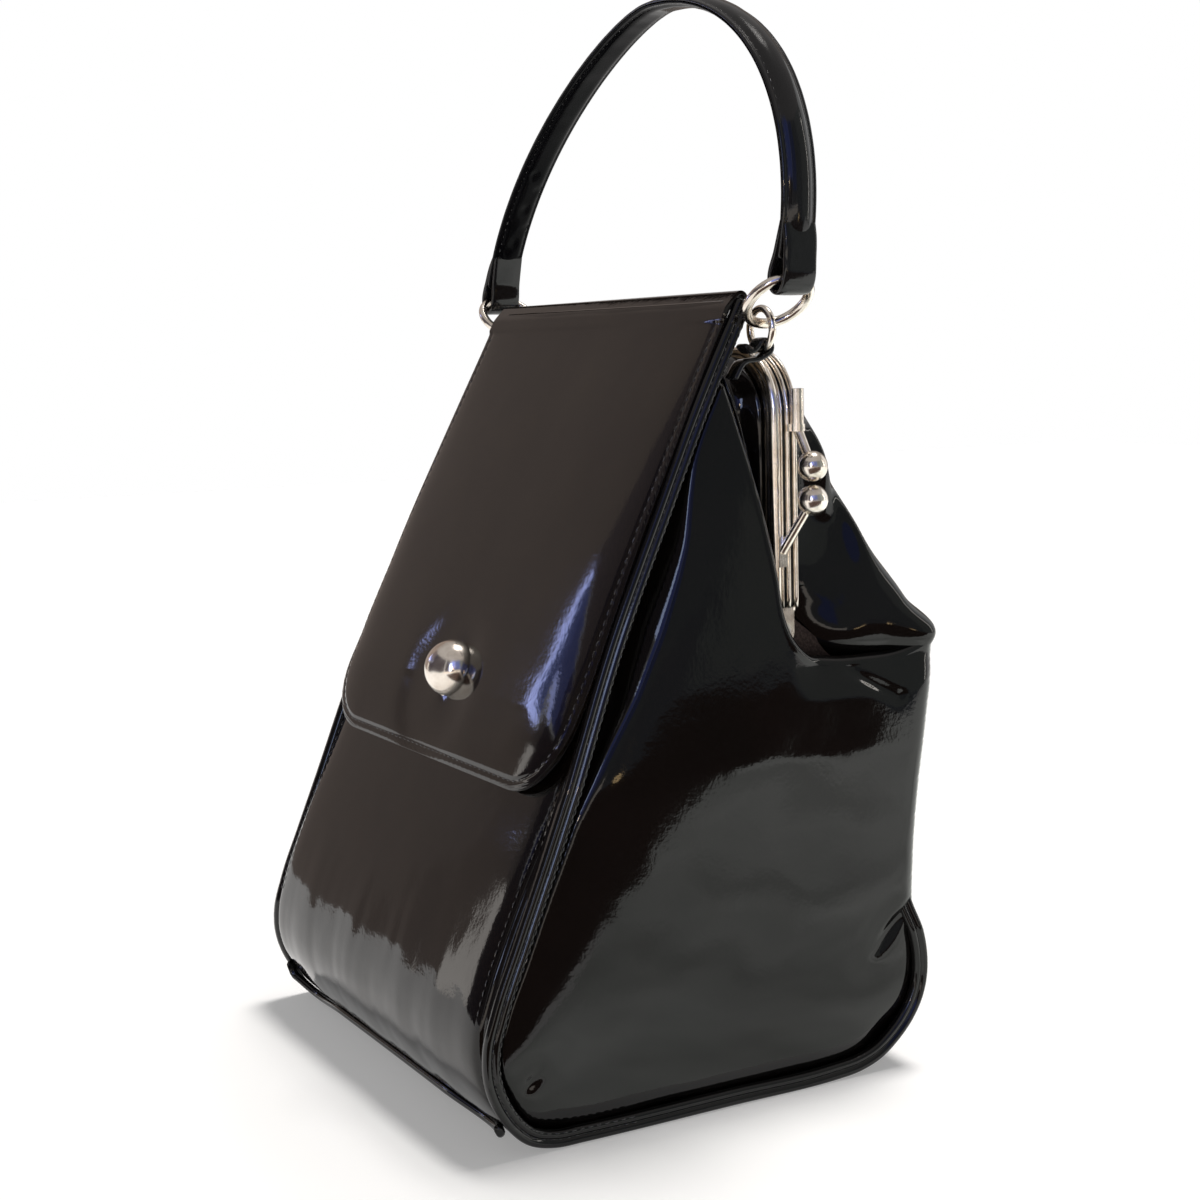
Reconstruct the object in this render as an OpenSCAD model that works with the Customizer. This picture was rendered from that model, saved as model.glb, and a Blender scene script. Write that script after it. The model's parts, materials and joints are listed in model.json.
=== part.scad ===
// A patent top-handle handbag. The front panel leans back from a knee near the base, the back rises
// to a fold and slopes forward to a two-part clasp frame, and a snap flap covers the front pocket.
// +X is the wearer's side with the clasp, -Y is the front, +Z is up, z = 0 is the floor.

/* [Body] */
// Width across the two side rims at the base
body_w = 186; // [160:1:220]
// Width across the side rims at the top of the front panel
top_w = 168; // [150:1:170]
// Depth of the base from front to back
base_d = 167; // [150:1:190]
// Height of the front panel's top edge
front_h = 256; // [250:1:280]
// Distance of the front panel's top edge behind the middle of the base
top_y = 11.5; // [6:0.5:12]
// Height at which the front panel starts to lean back
knee_h = 45; // [30:1:60]
// Height of the fold at the top of the back
back_h = 144; // [138:1:147]
// Height at which the sides start to taper
taper_h = 110; // [90:1:130]
// Radius of the base's front edge
front_r = 14; // [10:1:20]
// Radius of the base's back edge
back_r = 24; // [15:1:30]
// Thickness of the outer leather
wall = 2.2; // [1.6:0.1:2.6]
// Distance that the rims stand out past the side gussets
rim_out = 4.5; // [3:0.5:6]
// Distance that the rims stand out in front of the front panel at its knee
rim_fwd = 5.5; // [2:0.1:5.6]
// Width of the rims, seen from the side
rim_w = 6; // [4.6:0.1:8]
// Thickness of the side gussets
gusset_t = 3; // [2:0.1:3.4]

/* [Stiffeners and lining] */
// Thickness of the boards inside the front panel and on the base
board_t = 1.6; // [1:0.1:2]
// Thickness of the lining cloth
lining_t = 1; // [0.6:0.1:1.2]

/* [Pocket] */
// Distance of the pocket's sides inside the rims' outer faces
pocket_in = 5; // [4.9:0.1:12]
// Depth of the front pocket from the front panel to its outer face
pocket_d = 5.8; // [5.6:0.1:9]
// Distance of the pocket's mouth above the knee, along the slope
pocket_top = 122; // [110:1:130]
// Thickness of the pocket leather
pocket_t = 1.5; // [1.2:0.1:1.6]

/* [Flap] */
// Length of the flap along the slope
flap_len = 167; // [150:1:180]
// Distance of the flap's sides inside the rims' outer faces, at its widest
flap_side_in = 4; // [3:0.5:12]
// Distance of the flap's sides inside the rims' outer faces, at the hinge line
flap_top_in = 2; // [1:0.5:12]
// Thickness of the flap's outer leather
flap_t = 1.4; // [1.2:0.1:2]
// Thickness of the flap's backing
flap_back_t = 0.8; // [0.7:0.1:1.4]
// Radius of the flap's lower corners
flap_r = 26; // [15:1:35]
// Gap between the pocket and the flap, which the snap fills
flap_gap = 1.8; // [1.7:0.1:3]

/* [Snap] */
// Diameter of the snap's dome
dome_d = 17.5; // [14:0.5:19]
// Diameter of the snap's base ring
snap_d = 19.5; // [19.2:0.1:22]
// Distance of the snap above the flap's lower edge
snap_up = 30; // [24:1:40]
// Diameter of the snap's stud
stud_d = 4; // [3:0.1:5]

/* [Clasp frame] */
// Distance of the frame's legs inside the rims' outer faces, at the top of the front panel
frame_in = 1.5; // [1:0.5:8]
// Height of the frame's top
frame_h = 240; // [236:1:242]
// Distance of the frame's parting line behind the middle of the base
frame_y = 28.5; // [27.5:0.5:30]
// Depth of each half's bar, front to back
bar_d = 5; // [4.2:0.1:5.2]
// Width of each half's bar, across the opening
bar_w = 5; // [4:0.1:6]
// Radius of the frame's upper corners
frame_r = 20; // [14:1:24]
// Height of the frame's hinge
hinge_h = 150; // [148:0.5:152]
// Diameter of the hinge rivets
rivet_d = 3; // [2.4:0.1:3.6]
// Diameter of the clasp balls
ball_d = 9.8; // [8:0.1:10.2]

/* [Handle] */
// Width of the handle strap
strap_w = 11.5; // [9:0.5:12]
// Thickness of the handle strap
strap_t = 4.5; // [3.8:0.1:5]
// Height of the top of the handle
handle_h = 357; // [330:1:380]
// Distance of the handle's highest point to the side of the middle
apex_x = 28; // [0:1:35]
// Distance of the rings and the handle in front of the frame's parting line
ring_fwd = 8.5; // [8:0.5:11]
// Outer diameter of the large rings
ring_d = 24; // [23:0.5:25]
// Wire diameter of the large rings
ring_wire = 3.2; // [2.8:0.1:3.3]
// Outer diameter of the small link rings
link_d = 15; // [14.8:0.1:15.6]
// Wire diameter of the small link rings
link_wire = 2.4; // [2:0.1:2.5]
// Angle of the large rings above level
ring_tilt = 41; // [38:1:44]

/* [Hidden] */

// Named small sizes
over = 400;              // longer than the bag in any direction, for prisms that are cut to shape
eps = 0.5;               // overrun of a cut past a face
touch_gap = 0.3;         // clearance between soft pieces on different bodies
run_gap = 0.06;          // radial clearance of a metal running fit
slip_gap = 0.2;          // clearance of the snap's stud in its socket
$fn = 48;

// Side profile of the bag
lean = atan((top_y + base_d/2)/(front_h - knee_h));
slope_len = norm([top_y + base_d/2, front_h - knee_h]);
inner_off = wall + board_t;               // inner face of the stiffened front and base
gusset_top_h = frame_h - 8*wall;          // height at which the gussets meet the front panel
gusset_top_s = (gusset_top_h - knee_h)/cos(lean);

// A point of the front panel: s runs up the slope from the knee, n stands out of the outer face
function front_pt(s, n) = [-base_d/2 + s*sin(lean) - n*cos(lean), knee_h + s*cos(lean) + n*sin(lean)];
function knee_pt(n) = [-base_d/2 - n, knee_h + n*tan(lean/2)];
function arc_pts(c, r, a0, a1, steps) =
    [for (i = [0:steps]) let (a = a0 + (a1 - a0)*i/steps) c + r*[cos(a), sin(a)]];
function turned(pts) = [for (i = [len(pts) - 1:-1:0]) pts[i]];
// Half the width across the rims at a height
function half_w(z) = z <= taper_h ? body_w/2
    : body_w/2 - (body_w - top_w)/2*(z - taper_h)/(front_h - taper_h);

// The front, base and back lines, a distance off inside the outer face
function outline(off, s_top) = concat(
    [front_pt(s_top, -off), knee_pt(-off)],
    arc_pts([front_r - base_d/2, front_r], front_r - off, 180, 270, 8),
    arc_pts([base_d/2 - back_r, back_r], back_r - off, 270, 360, 10),
    [[base_d/2 - off, back_h]]);

// A prism along X from points given as [y, z]
module side_prism(pts) {
    rotate([90, 0, 90]) linear_extrude(over, center = true) polygon(pts);
}
// A prism along Y from points given as [x, z]
module front_prism(pts) {
    rotate([90, 0, 0]) linear_extrude(over, center = true) polygon(pts);
}
// Places its children on the front panel: x across, y up the slope, z out of the outer face
module on_front() {
    translate([0, -base_d/2, knee_h]) rotate([90 - lean, 0, 0]) children();
}
// The space between two distances inside the rims' outer faces, on both sides of the bag
module side_strips(near, far) {
    difference() {
        side_limit(near);
        side_limit(far);
    }
}
// Everything nearer the middle than a distance inside the rims' outer faces
module side_limit(in) {
    low = -base_d;
    high = 2*front_h;
    front_prism([
        [-half_w(low) + in, low], [half_w(low) - in, low], [half_w(taper_h) - in, taper_h],
        [half_w(high) - in, high], [-half_w(high) + in, high], [-half_w(taper_h) + in, taper_h]]);
}
// Keeps the half of its children on one side: 1 is right, -1 is left
module one_side(side) {
    intersection() {
        children();
        translate([side*over/2, 0, 0]) cube([over, over, 2*over], center = true);
    }
}
// A round rod from one point to another
module rod(a, b, r1, r2) {
    v = b - a;
    translate(a) rotate([0, acos(v[2]/norm(v)), atan2(v[1], v[0])]) cylinder(h = norm(v), r1 = r1, r2 = r2);
}

// Outer leather: one piece down the front, under the base and up the back
module outer_wrap() {
    color("#141214") intersection() {
        side_prism(concat(outline(0, slope_len), turned(outline(wall, slope_len))));
        side_limit(rim_out);
    }
}

// Stiffening board inside the front panel
front_board_low = 2*wall;                 // distance of the board above the knee
front_board_high = slope_len - 2*wall;
module front_board() {
    color("#8a7a5c") intersection() {
        side_prism([
            front_pt(front_board_low, -wall), front_pt(front_board_high, -wall),
            front_pt(front_board_high, -inner_off), front_pt(front_board_low, -inner_off)]);
        side_limit(rim_out + gusset_t);
    }
}

// Stiffening board on the base
module base_board() {
    half_d = base_d/2;
    color("#8a7a5c") intersection() {
        side_prism([
            [-half_d + front_r, wall], [half_d - back_r, wall],
            [half_d - back_r, inner_off], [-half_d + front_r, inner_off]]);
        side_limit(rim_out + gusset_t);
    }
}

// Side gussets, set in behind the rims, with a notch where the frame opens
leg_low_h = hinge_h + 2*wall + bar_w - bar_d/2;      // lower end of the frame's legs
frame_front_y = frame_y - bar_d - slip_gap/2;        // front face of the front half
notch_h = back_h - 4*wall + slip_gap;                // lowest point of the notch
function notch_pts(off) = [
    [base_d/2 - off, back_h - wall], [frame_y + 5*bar_w, notch_h], [frame_y + 2*bar_w, notch_h + wall],
    [frame_y + bar_w/4, hinge_h - bar_w], [frame_front_y - touch_gap, leg_low_h - wall],
    [frame_front_y - touch_gap, frame_h - 2*bar_w]];
module gusset(side) {
    pts = outline(wall, gusset_top_s);
    color("#171518") one_side(side) intersection() {
        side_prism(concat([for (i = [0:len(pts) - 2]) pts[i]], notch_pts(wall)));
        side_strips(rim_out, rim_out + gusset_t);
    }
}

// Rims: the turned seam that stands out round the front, the base and the back
rim_front = concat([front_pt(slope_len, 0), knee_pt(rim_fwd)],
    [for (p = arc_pts([0, front_r], 1, 180, 270, 8))
        [front_r - base_d/2 + p[0]*(front_r + rim_fwd), front_r + (p[1] - front_r)*front_r]]);
module rim(side) {
    color("#0d0c0e") one_side(side) intersection() {
        side_prism(concat(rim_front, [for (p = outline(0, slope_len)) if (p[0] > 0 && p[1] <= back_h) p],
            turned(outline(rim_w, slope_len))));
        side_strips(0, rim_out);
    }
}

// Leather between the front half of the frame and the front panel
yoke_t = wall;
yoke_s = slope_len - 7*wall;              // where the front yoke meets the front panel
module front_yoke() {
    p = front_pt(yoke_s, -inner_off);
    color("#141214") intersection() {
        side_prism([
            p, [frame_front_y, frame_h - bar_w/2], [frame_front_y, frame_h - bar_w/2 - yoke_t],
            p - yoke_t*[sin(lean), cos(lean)]]);
        side_limit(rim_out + gusset_t + touch_gap);
        front_prism([
            [-frame_w/2 + frame_r/2, 0], [frame_w/2 - frame_r/2, 0],
            [frame_w/2 - frame_r/2, front_h], [-frame_w/2 + frame_r/2, front_h]]);
    }
}

// Lining: a cloth bag inside the boards and gussets, open at the top
lining_top_s = yoke_s - 4*yoke_t;
module cavity(off) {
    pts = outline(inner_off + off, lining_top_s);
    intersection() {
        side_prism(concat([for (i = [0:len(pts) - 2]) pts[i]], [
            [base_d/2 - wall - off, back_h - 4*wall], [frame_y + 5*bar_w, notch_h - wall],
            [frame_front_y - wall, notch_h - wall], [frame_front_y - wall, leg_low_h]]));
        side_limit(rim_out + gusset_t + off);
    }
}
module lining() {
    color("#3a2a26") difference() {
        cavity(0);
        intersection() {
            cavity_open();
            side_limit(rim_out + gusset_t + lining_t);
        }
    }
}
// The lining's inside, run out through its mouth
module cavity_open() {
    pts = outline(inner_off + lining_t, slope_len);
    side_prism(concat([for (i = [0:len(pts) - 2]) pts[i]],
        [[base_d/2 - wall - lining_t, back_h + over], [top_y, back_h + over]]));
}

// Front pocket: a front with a strip round its two sides and its base
pocket_low_h = front_r/2;                 // height of the pocket's lower edge
function pocket_line(n) = [front_pt(pocket_top, n), knee_pt(n), [-base_d/2 - n, pocket_low_h]];
module pocket_front() {
    color("#1a1719") difference() {
        intersection() {
            side_prism(concat(pocket_line(pocket_d), turned(pocket_line(pocket_d - pocket_t))));
            side_limit(pocket_in);
        }
        on_front() translate([0, snap_s, pocket_d - pocket_t - eps])
            cylinder(h = pocket_t + 2*eps, r = stud_d/2);
    }
}
module pocket_strip() {
    low_in = pocket_low_h + pocket_t;
    base_y = -base_d/2;
    color("#141214") intersection() {
        side_prism(concat(pocket_line(pocket_d - pocket_t),
            [[base_y + front_r - sqrt(front_r^2 - (front_r - pocket_low_h)^2), pocket_low_h]],
            turned([for (p = outline(0, pocket_top)) if (p[1] > pocket_low_h && p[0] < 0 && p[1] <= knee_h) p]),
            [front_pt(pocket_top, 0)]));
        difference() {
            side_limit(pocket_in);
            intersection() {
                side_limit(pocket_in + pocket_t);
                translate([-over/2, -over/2, low_in]) cube(over);
            }
        }
    }
}

// Snap: the stud and its washer on the pocket, the cap and its socket on the flap
flap_in = pocket_d + flap_gap;            // the flap's inner face above the front panel
flap_mid = flap_in + flap_back_t;
flap_out = flap_mid + flap_t;
flap_low_s = slope_len - flap_len;
snap_s = flap_low_s + snap_up;
cap_post_r = stud_d/2 + slip_gap + 0.4*pocket_t;     // outer radius of the cap's hollow post
stud_base_t = flap_gap/4;
socket_t = flap_gap - stud_base_t - touch_gap;
module snap_stud() {
    color("#c9beb8") on_front() translate([0, snap_s, 0]) {
        translate([0, 0, pocket_d - pocket_t]) cylinder(h = pocket_t, r = stud_d/2);
        translate([0, 0, pocket_d]) cylinder(h = stud_base_t, r = 1.5*stud_d);
        translate([0, 0, pocket_d]) cylinder(h = flap_gap + flap_back_t - eps, r = stud_d/2);
    }
}
module snap_washer() {
    color("#c9beb8") on_front() translate([0, snap_s, pocket_d - pocket_t - stud_base_t]) difference() {
        cylinder(h = stud_base_t, r = 1.4*stud_d);
        translate([0, 0, -eps]) cylinder(h = stud_base_t + 2*eps, r = stud_d/2);
    }
    color("#c9beb8") on_front() translate([0, snap_s, pocket_d - pocket_t - 2*stud_base_t])
        cylinder(h = stud_base_t, r = 0.9*stud_d);
}
module snap_socket() {
    color("#c9beb8") on_front() translate([0, snap_s, flap_in - socket_t]) difference() {
        cylinder(h = socket_t, r = 1.5*stud_d);
        translate([0, 0, -eps]) cylinder(h = socket_t + 2*eps, r = stud_d/2 + slip_gap);
    }
}
dome_h = 0.62*dome_d;                     // height of the dome above its base ring
snap_ring_h = dome_d/14;
module snap_cap() {
    color("#d8cdc6") on_front() translate([0, snap_s, 0]) {
        difference() {
            translate([0, 0, flap_in]) cylinder(h = flap_out - flap_in, r = cap_post_r);
            translate([0, 0, flap_in - eps])
                cylinder(h = flap_out - flap_in + eps - touch_gap, r = stud_d/2 + slip_gap);
        }
        translate([0, 0, flap_out]) cylinder(h = snap_ring_h, r = snap_d/2);
        translate([0, 0, flap_out + snap_ring_h]) intersection() {
            translate([0, 0, dome_h - dome_d/2]) sphere(d = dome_d, $fn = 64);
            cylinder(h = dome_d, r = dome_d);
        }
    }
}

// Flap: an outer leather and a backing, rolled over the hinge line at the top of the front panel
flap_w = body_w - 2*flap_side_in;         // width of the flap at its widest
flap_top_w = top_w - 2*flap_top_in;       // width of the flap at the hinge line
hinge_r = wall + board_t/2;               // radius of the roll at the hinge line
hinge_n = -inner_off/2;                   // the hinge line lies in the middle of the panel's thickness
flap_hinge = front_pt(slope_len + hinge_r + touch_gap, hinge_n);
flap_bend_s = slope_len/2 + 2*flap_r;     // where the flap comes down to the front panel
function flap_line(n, top_n) = [
    [flap_low_s, n], [pocket_top + pocket_t, n], [flap_bend_s + pocket_d, n - pocket_d/2],
    [slope_len - hinge_r, top_n]];
// Points given as [s, n], made into a prism along X
module flap_prism(pts) {
    side_prism([for (p = pts) front_pt(p[0], p[1])]);
}
// The flap's outline on the slope
module flap_outline() {
    side = (flap_w - flap_top_w)/2;
    high = slope_len + 2*hinge_r;
    mid = flap_low_s + flap_len/4;
    on_front() linear_extrude(over, center = true) union() {
        polygon([
            [-flap_w/2, flap_low_s + flap_r], [-flap_w/2 + flap_r, flap_low_s],
            [flap_w/2 - flap_r, flap_low_s], [flap_w/2, flap_low_s + flap_r], [flap_w/2, mid],
            [flap_w/2 - side, high], [-flap_w/2 + side, high], [-flap_w/2, mid]]);
        for (x = [-1, 1]) translate([x*(flap_w/2 - flap_r), flap_low_s + flap_r]) circle(r = flap_r);
    }
}
module snap_hole() {
    on_front() translate([0, snap_s, 0]) cylinder(h = over, r = cap_post_r);
}
module flap_face() {
    top_n = flap_t + flap_back_t + touch_gap;
    color("#1c1817") difference() {
        intersection() {
            union() {
                flap_prism(concat(flap_line(flap_out, top_n), turned(flap_line(flap_mid, top_n - flap_t))));
                flap_prism([
                    [slope_len - hinge_r, top_n], [slope_len + hinge_r + touch_gap, hinge_n + hinge_r],
                    [slope_len + hinge_r + touch_gap, hinge_n + hinge_r - flap_t],
                    [slope_len - hinge_r, top_n - flap_t]]);
                translate([0, flap_hinge[0], flap_hinge[1]]) rotate([0, 90, 0])
                    cylinder(h = over, r = hinge_r, center = true);
            }
            flap_outline();
        }
        snap_hole();
    }
}
module flap_backing() {
    top_n = flap_back_t + touch_gap;
    color("#1a1719") difference() {
        intersection() {
            flap_prism(concat(flap_line(flap_mid, top_n), turned(flap_line(flap_in, top_n - flap_back_t))));
            flap_outline();
        }
        snap_hole();
    }
}

// Clasp frame: two round-cornered halves, riveted together at the lower ends of their legs
frame_w = top_w - 2*frame_in;             // width across the frame's legs
bar_edge = bar_d/3;                       // rounding of the bars' outer edges
leg_len = frame_h - frame_r - leg_low_h;
leg_x = frame_w/2;                        // outer face of the legs
ear_t = 1.8;                              // thickness of the hinge ears
ear_r = bar_w;                            // radius of the hinge ears
ear_x = leg_x - 0.75*bar_w;               // where the two ears meet
// The bar's section: x is outwards from the opening, y is from the parting line
module bar_section() {
    difference() {
        union() {
            square([bar_w - bar_edge, bar_d]);
            square([bar_w, bar_d - bar_edge]);
            translate([bar_w - bar_edge, bar_d - bar_edge]) circle(r = bar_edge);
        }
        translate([-eps, bar_d/4]) square([bar_w/2, bar_d/2]);
    }
}
// One half, with y = 0 at the parting line and the bar on the +y side
module frame_half(ear_side) {
    straight = frame_w - 2*frame_r;
    translate([-straight/2, 0, frame_h - bar_w]) rotate([90, 0, 90])
        linear_extrude(straight) mirror([1, 0, 0]) rotate(90) bar_section();
    for (side = [-1, 1]) scale_side(side) translate([straight/2, 0, frame_h - frame_r]) {
        rotate([90, 0, 0]) mirror([0, 0, 1]) rotate_extrude(angle = 90)
            translate([frame_r - bar_w, 0]) bar_section();
        mirror([0, 0, 1]) linear_extrude(leg_len) translate([frame_r - bar_w, 0]) bar_section();
    }
    for (side = [-1, 1]) scale_side(side) {
        x0 = ear_side > 0 ? ear_x + run_gap : ear_x - run_gap - ear_t;
        translate([x0, -slip_gap/2, hinge_h]) difference() {
            union() {
                rotate([0, 90, 0]) cylinder(h = ear_t, r = ear_r);
                translate([0, slip_gap, 0]) cube([ear_t, bar_d - slip_gap, leg_low_h - hinge_h + eps]);
            }
            rivet_bore = rivet_d/2 + (ear_side > 0 ? run_gap : 0);
            translate([-eps, 0, 0]) rotate([0, 90, 0]) cylinder(h = ear_t + 2*eps, r = rivet_bore);
        }
    }
}
module scale_side(side) {
    if (side > 0) children();
    else mirror([1, 0, 0]) children();
}
module front_frame() {
    color("#cfc4bb") translate([0, frame_y - slip_gap/2, 0]) mirror([0, 1, 0]) frame_half(-1);
}
module rear_frame() {
    color("#cfc4bb") translate([0, frame_y + slip_gap/2, 0]) frame_half(1);
}
module rivet(side) {
    head_r = rivet_d;
    head_t = rivet_d/3;
    low = ear_x - run_gap - ear_t;
    high = ear_x + 2*run_gap + ear_t;
    color("#b5aaa2") scale_side(side) translate([0, frame_y, hinge_h]) rotate([0, 90, 0]) {
        translate([0, 0, low - head_t]) cylinder(h = head_t, r = head_r);
        translate([0, 0, low]) cylinder(h = high - low, r = rivet_d/2);
        translate([0, 0, high]) cylinder(h = head_t, r = head_r);
    }
}

// Clasp: two balls on stems from the right legs, which snap past each other
ball_x = frame_w/2 + 0.97*ball_d;
ball_y = frame_y + bar_d - slip_gap;
ball_gap = ball_d/11;
clasp_h = (frame_h + leg_low_h)/2;
ball_low = [ball_x, ball_y, clasp_h - (ball_d + ball_gap)/2];
ball_high = ball_low + [0, 0, ball_d + ball_gap];
stem_r = ball_d/6;
module front_clasp() {
    root_h = clasp_h - 2.25*ball_d;
    foot_w = bar_d - bar_edge - slip_gap;
    foot_h = ball_d;
    foot_y = frame_y - slip_gap - foot_w;
    color("#d8cdc6") {
        rod([leg_x + stem_r, foot_y + foot_w/2, root_h], ball_low, stem_r, 0.8*stem_r);
        translate(ball_low) rotate([90, 0, 0]) sphere(d = ball_d, $fn = 64);
        translate([leg_x, foot_y, root_h - foot_h/2]) cube([1.5*stem_r, foot_w, foot_h]);
    }
}
module rear_clasp() {
    post_r = 1.4*stem_r;
    post_h = 1.15*ball_d;
    post_top = clasp_h + 3.05*ball_d;
    post_low = post_top - post_h;
    post_x = leg_x + 1.2*post_r;
    post_y = frame_y + 0.75*bar_d;
    foot_w = bar_d - bar_edge - slip_gap;
    color("#d8cdc6") {
        translate([post_x, post_y, post_low - post_r/2]) cylinder(h = post_h + post_r/2, r = post_r);
        translate([post_x, post_y, post_low - post_r]) cylinder(h = post_r, r = 1.15*post_r);
        translate([leg_x, frame_y + slip_gap, post_low - post_r]) cube([post_x - leg_x, foot_w, post_r]);
        rod([post_x, post_y, post_low - post_r/2], ball_high, stem_r, 0.8*stem_r);
        translate(ball_high) rotate([90, 0, 0]) sphere(d = ball_d, $fn = 64);
    }
}

// Back leather above the fold, on the rear half of the frame
frame_back_y = frame_y + bar_d + slip_gap/2;
yoke_low = [base_d/2 - wall - lining_t - touch_gap, back_h - 2*wall];
// The yoke's sag from the frame to the fold, as shares of its depth and of its drop
yoke_sag_shares = [[0.32, 0.33], [0.5, 0.49], [0.7, 0.66], [0.9, 0.81], [1.01, 0.91]];
function yoke_line(top) = concat([top],
    [for (share = yoke_sag_shares) top + [share[0]*(yoke_low - top)[0], share[1]*(yoke_low - top)[1]]],
    [yoke_low]);
module rear_yoke() {
    top = [frame_back_y, frame_h - bar_w/4];
    half_top = frame_w/2 - bar_w;
    half_low = half_w(back_h) - rim_out - gusset_t - lining_t - touch_gap;
    color("#141214") intersection() {
        side_prism(concat(yoke_line(top),
            turned([for (p = yoke_line([frame_back_y + yoke_t, frame_h - bar_w])) p - [yoke_t, 0]])));
        front_prism([[-half_low, 0], [half_low, 0], [half_low, back_h], [half_top, frame_h],
            [-half_top, frame_h], [-half_low, back_h]]);
    }
}
// Leather between the rear half's legs and the edges of the rear yoke
web_t = wall;
module web(side) {
    out = leg_x - bar_w - touch_gap;
    low = yoke_low + [-3*yoke_t, yoke_t];
    color("#171518") scale_side(side) intersection() {
        side_prism([
            [frame_back_y, leg_low_h + bar_w], low, [frame_back_y, frame_h - 2*bar_w]]);
        translate([out - web_t, -over/2, 0]) cube([web_t, over, over]);
    }
}

// Handle rings: a link ring through each leather tab and a large ring through each strap loop
ring_y = frame_y - ring_fwd;              // the rings' and the handle's middle plane
tab_h = front_h - link_d + slip_gap*2.5;  // height of the tabs' bores
link_in = link_d/2 - link_wire;           // bore radius of the link rings
link_x = top_w/2;
tab_w = link_d/2.5;                       // width of the leather tabs
link_near = sqrt(link_in^2 - (tab_w/2)^2);           // nearest wire to the link's centre at the tab's edges
link_z = tab_h + (link_d/2 + link_near)/2;
ring_shift = link_in - ring_wire/2 - touch_gap - slip_gap*4 + ring_d/2 - ring_wire/2;
ring_x = link_x + ring_shift*cos(ring_tilt);
ring_z = link_z + ring_shift*sin(ring_tilt);
ring_near = sqrt((ring_d/2 - ring_wire)^2 - (strap_w/2)^2);      // the same for the large rings and the strap
loop_shift = (ring_d/2 + ring_near)/2;    // distance of the strap's loops from the rings' centres
loop_x = ring_x + loop_shift*cos(ring_tilt);
loop_z = ring_z + loop_shift*sin(ring_tilt);
module ring(d, wire) {
    rotate_extrude($fn = 72) translate([d/2 - wire/2, 0]) circle(d = wire, $fn = 24);
}
module link_ring(side) {
    color("#cfc4bb") scale_side(side) translate([link_x, ring_y, link_z]) rotate([90, 0, 0])
        ring(link_d, link_wire);
}
module large_ring(side) {
    color("#cfc4bb") scale_side(side) translate([ring_x, ring_y, ring_z]) rotate([0, -ring_tilt, 0])
        ring(ring_d, ring_wire);
}
// Leather tab on the back of the front panel, looped through the link ring
tab_t = 0.8*wall;
tab_bore = (link_d/2 - link_near)/2 + slip_gap;
module tab(side) {
    r = tab_bore + tab_t;
    root_h = tab_h - 2*r;
    s = (root_h - knee_h)/cos(lean);
    low = front_pt(s - r, -rim_w);
    high = front_pt(s + r, -rim_w);
    color("#141214") scale_side(side) translate([link_x - tab_w/2, 0, 0]) difference() {
        union() {
            translate([0, ring_y, tab_h]) rotate([0, 90, 0]) cylinder(h = tab_w, r = r);
            rotate([90, 0, 90]) linear_extrude(tab_w)
                polygon([low, [ring_y + r*sin(lean), tab_h - r*cos(lean)], [ring_y - r, tab_h], high]);
        }
        translate([-eps, ring_y, tab_h]) rotate([0, 90, 0]) cylinder(h = tab_w + 2*eps, r = tab_bore);
        side_prism(outline_out());
    }
}
// Everything in front of the rims' inner faces
function outline_out() = [
    front_pt(-slope_len, -rim_w), front_pt(2*slope_len, -rim_w), front_pt(2*slope_len, over),
    front_pt(-slope_len, over)];

// Handle: a padded strap bent to an arch, with a loop round each large ring
loop_in = (ring_d/2 - ring_near)/2 + slip_gap;
loop_out = loop_in + strap_t/2.25;
core_t = strap_t/3;
core_w = strap_w/1.6;
// Centre line of the strap, as two Bezier curves that meet at the apex
arch_top = handle_h - strap_t/2;
arch_rise = arch_top - loop_z;
function bezier(a, b, c, d, t) =
    (1 - t)^3*a + 3*(1 - t)^2*t*b + 3*(1 - t)*t^2*c + t^3*d;
left_ctrl_share = [0.12, 0.57];
left_top_share = 0.22;
right_top_share = 0.75;
right_ctrl_share = [0.25, 0.58];
function arch_pt(t) =
    let (left = [-loop_x, loop_z], right = [loop_x, loop_z], apex = [apex_x, arch_top],
        span_l = apex_x + loop_x, span_r = loop_x - apex_x)
    t < 1 ? bezier(left, left + [left_ctrl_share[0]*span_l, left_ctrl_share[1]*arch_rise],
            apex - [left_top_share*span_l, 0], apex, t)
        : bezier(apex, apex + [right_top_share*span_r, 0],
            right + [right_ctrl_share[0]*span_r, right_ctrl_share[1]*arch_rise], right, t - 1);
function arch_dir(t) = let (h = 1/200, a = arch_pt(max(t - h, 0)), b = arch_pt(min(t + h, 2)))
    (b - a)/norm(b - a);
function arch_side(t, off) = let (d = arch_dir(t)) arch_pt(t) + off*[-d[1], d[0]];
arch_steps = 40;
function arch_band(half, t0, t1) = concat(
    [for (i = [0:arch_steps]) arch_side(t0 + (t1 - t0)*i/arch_steps, half)],
    [for (i = [arch_steps:-1:0]) arch_side(t0 + (t1 - t0)*i/arch_steps, -half)]);
module handle_strap() {
    color("#151317") translate([0, ring_y, 0]) rotate([90, 0, 0]) difference() {
        union() {
            linear_extrude(strap_w, center = true) polygon(arch_band(strap_t/2, 0, 2));
            for (x = [-1, 1]) translate([x*loop_x, loop_z, 0])
                cylinder(h = strap_w, r = loop_out, center = true);
        }
        for (x = [-1, 1]) translate([x*loop_x, loop_z, 0])
            cylinder(h = strap_w + 2*eps, r = loop_in, center = true);
        linear_extrude(core_w, center = true) polygon(arch_band(core_t/2, core_t0, core_t1));
    }
}
core_t0 = 0.15;                           // the core's ends, as places along the arch
core_t1 = 1.85;
module handle_core() {
    color("#6b6258") translate([0, ring_y, 0]) rotate([90, 0, 0])
        linear_extrude(core_w, center = true) polygon(arch_band(core_t/2, core_t0, core_t1));
}

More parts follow.
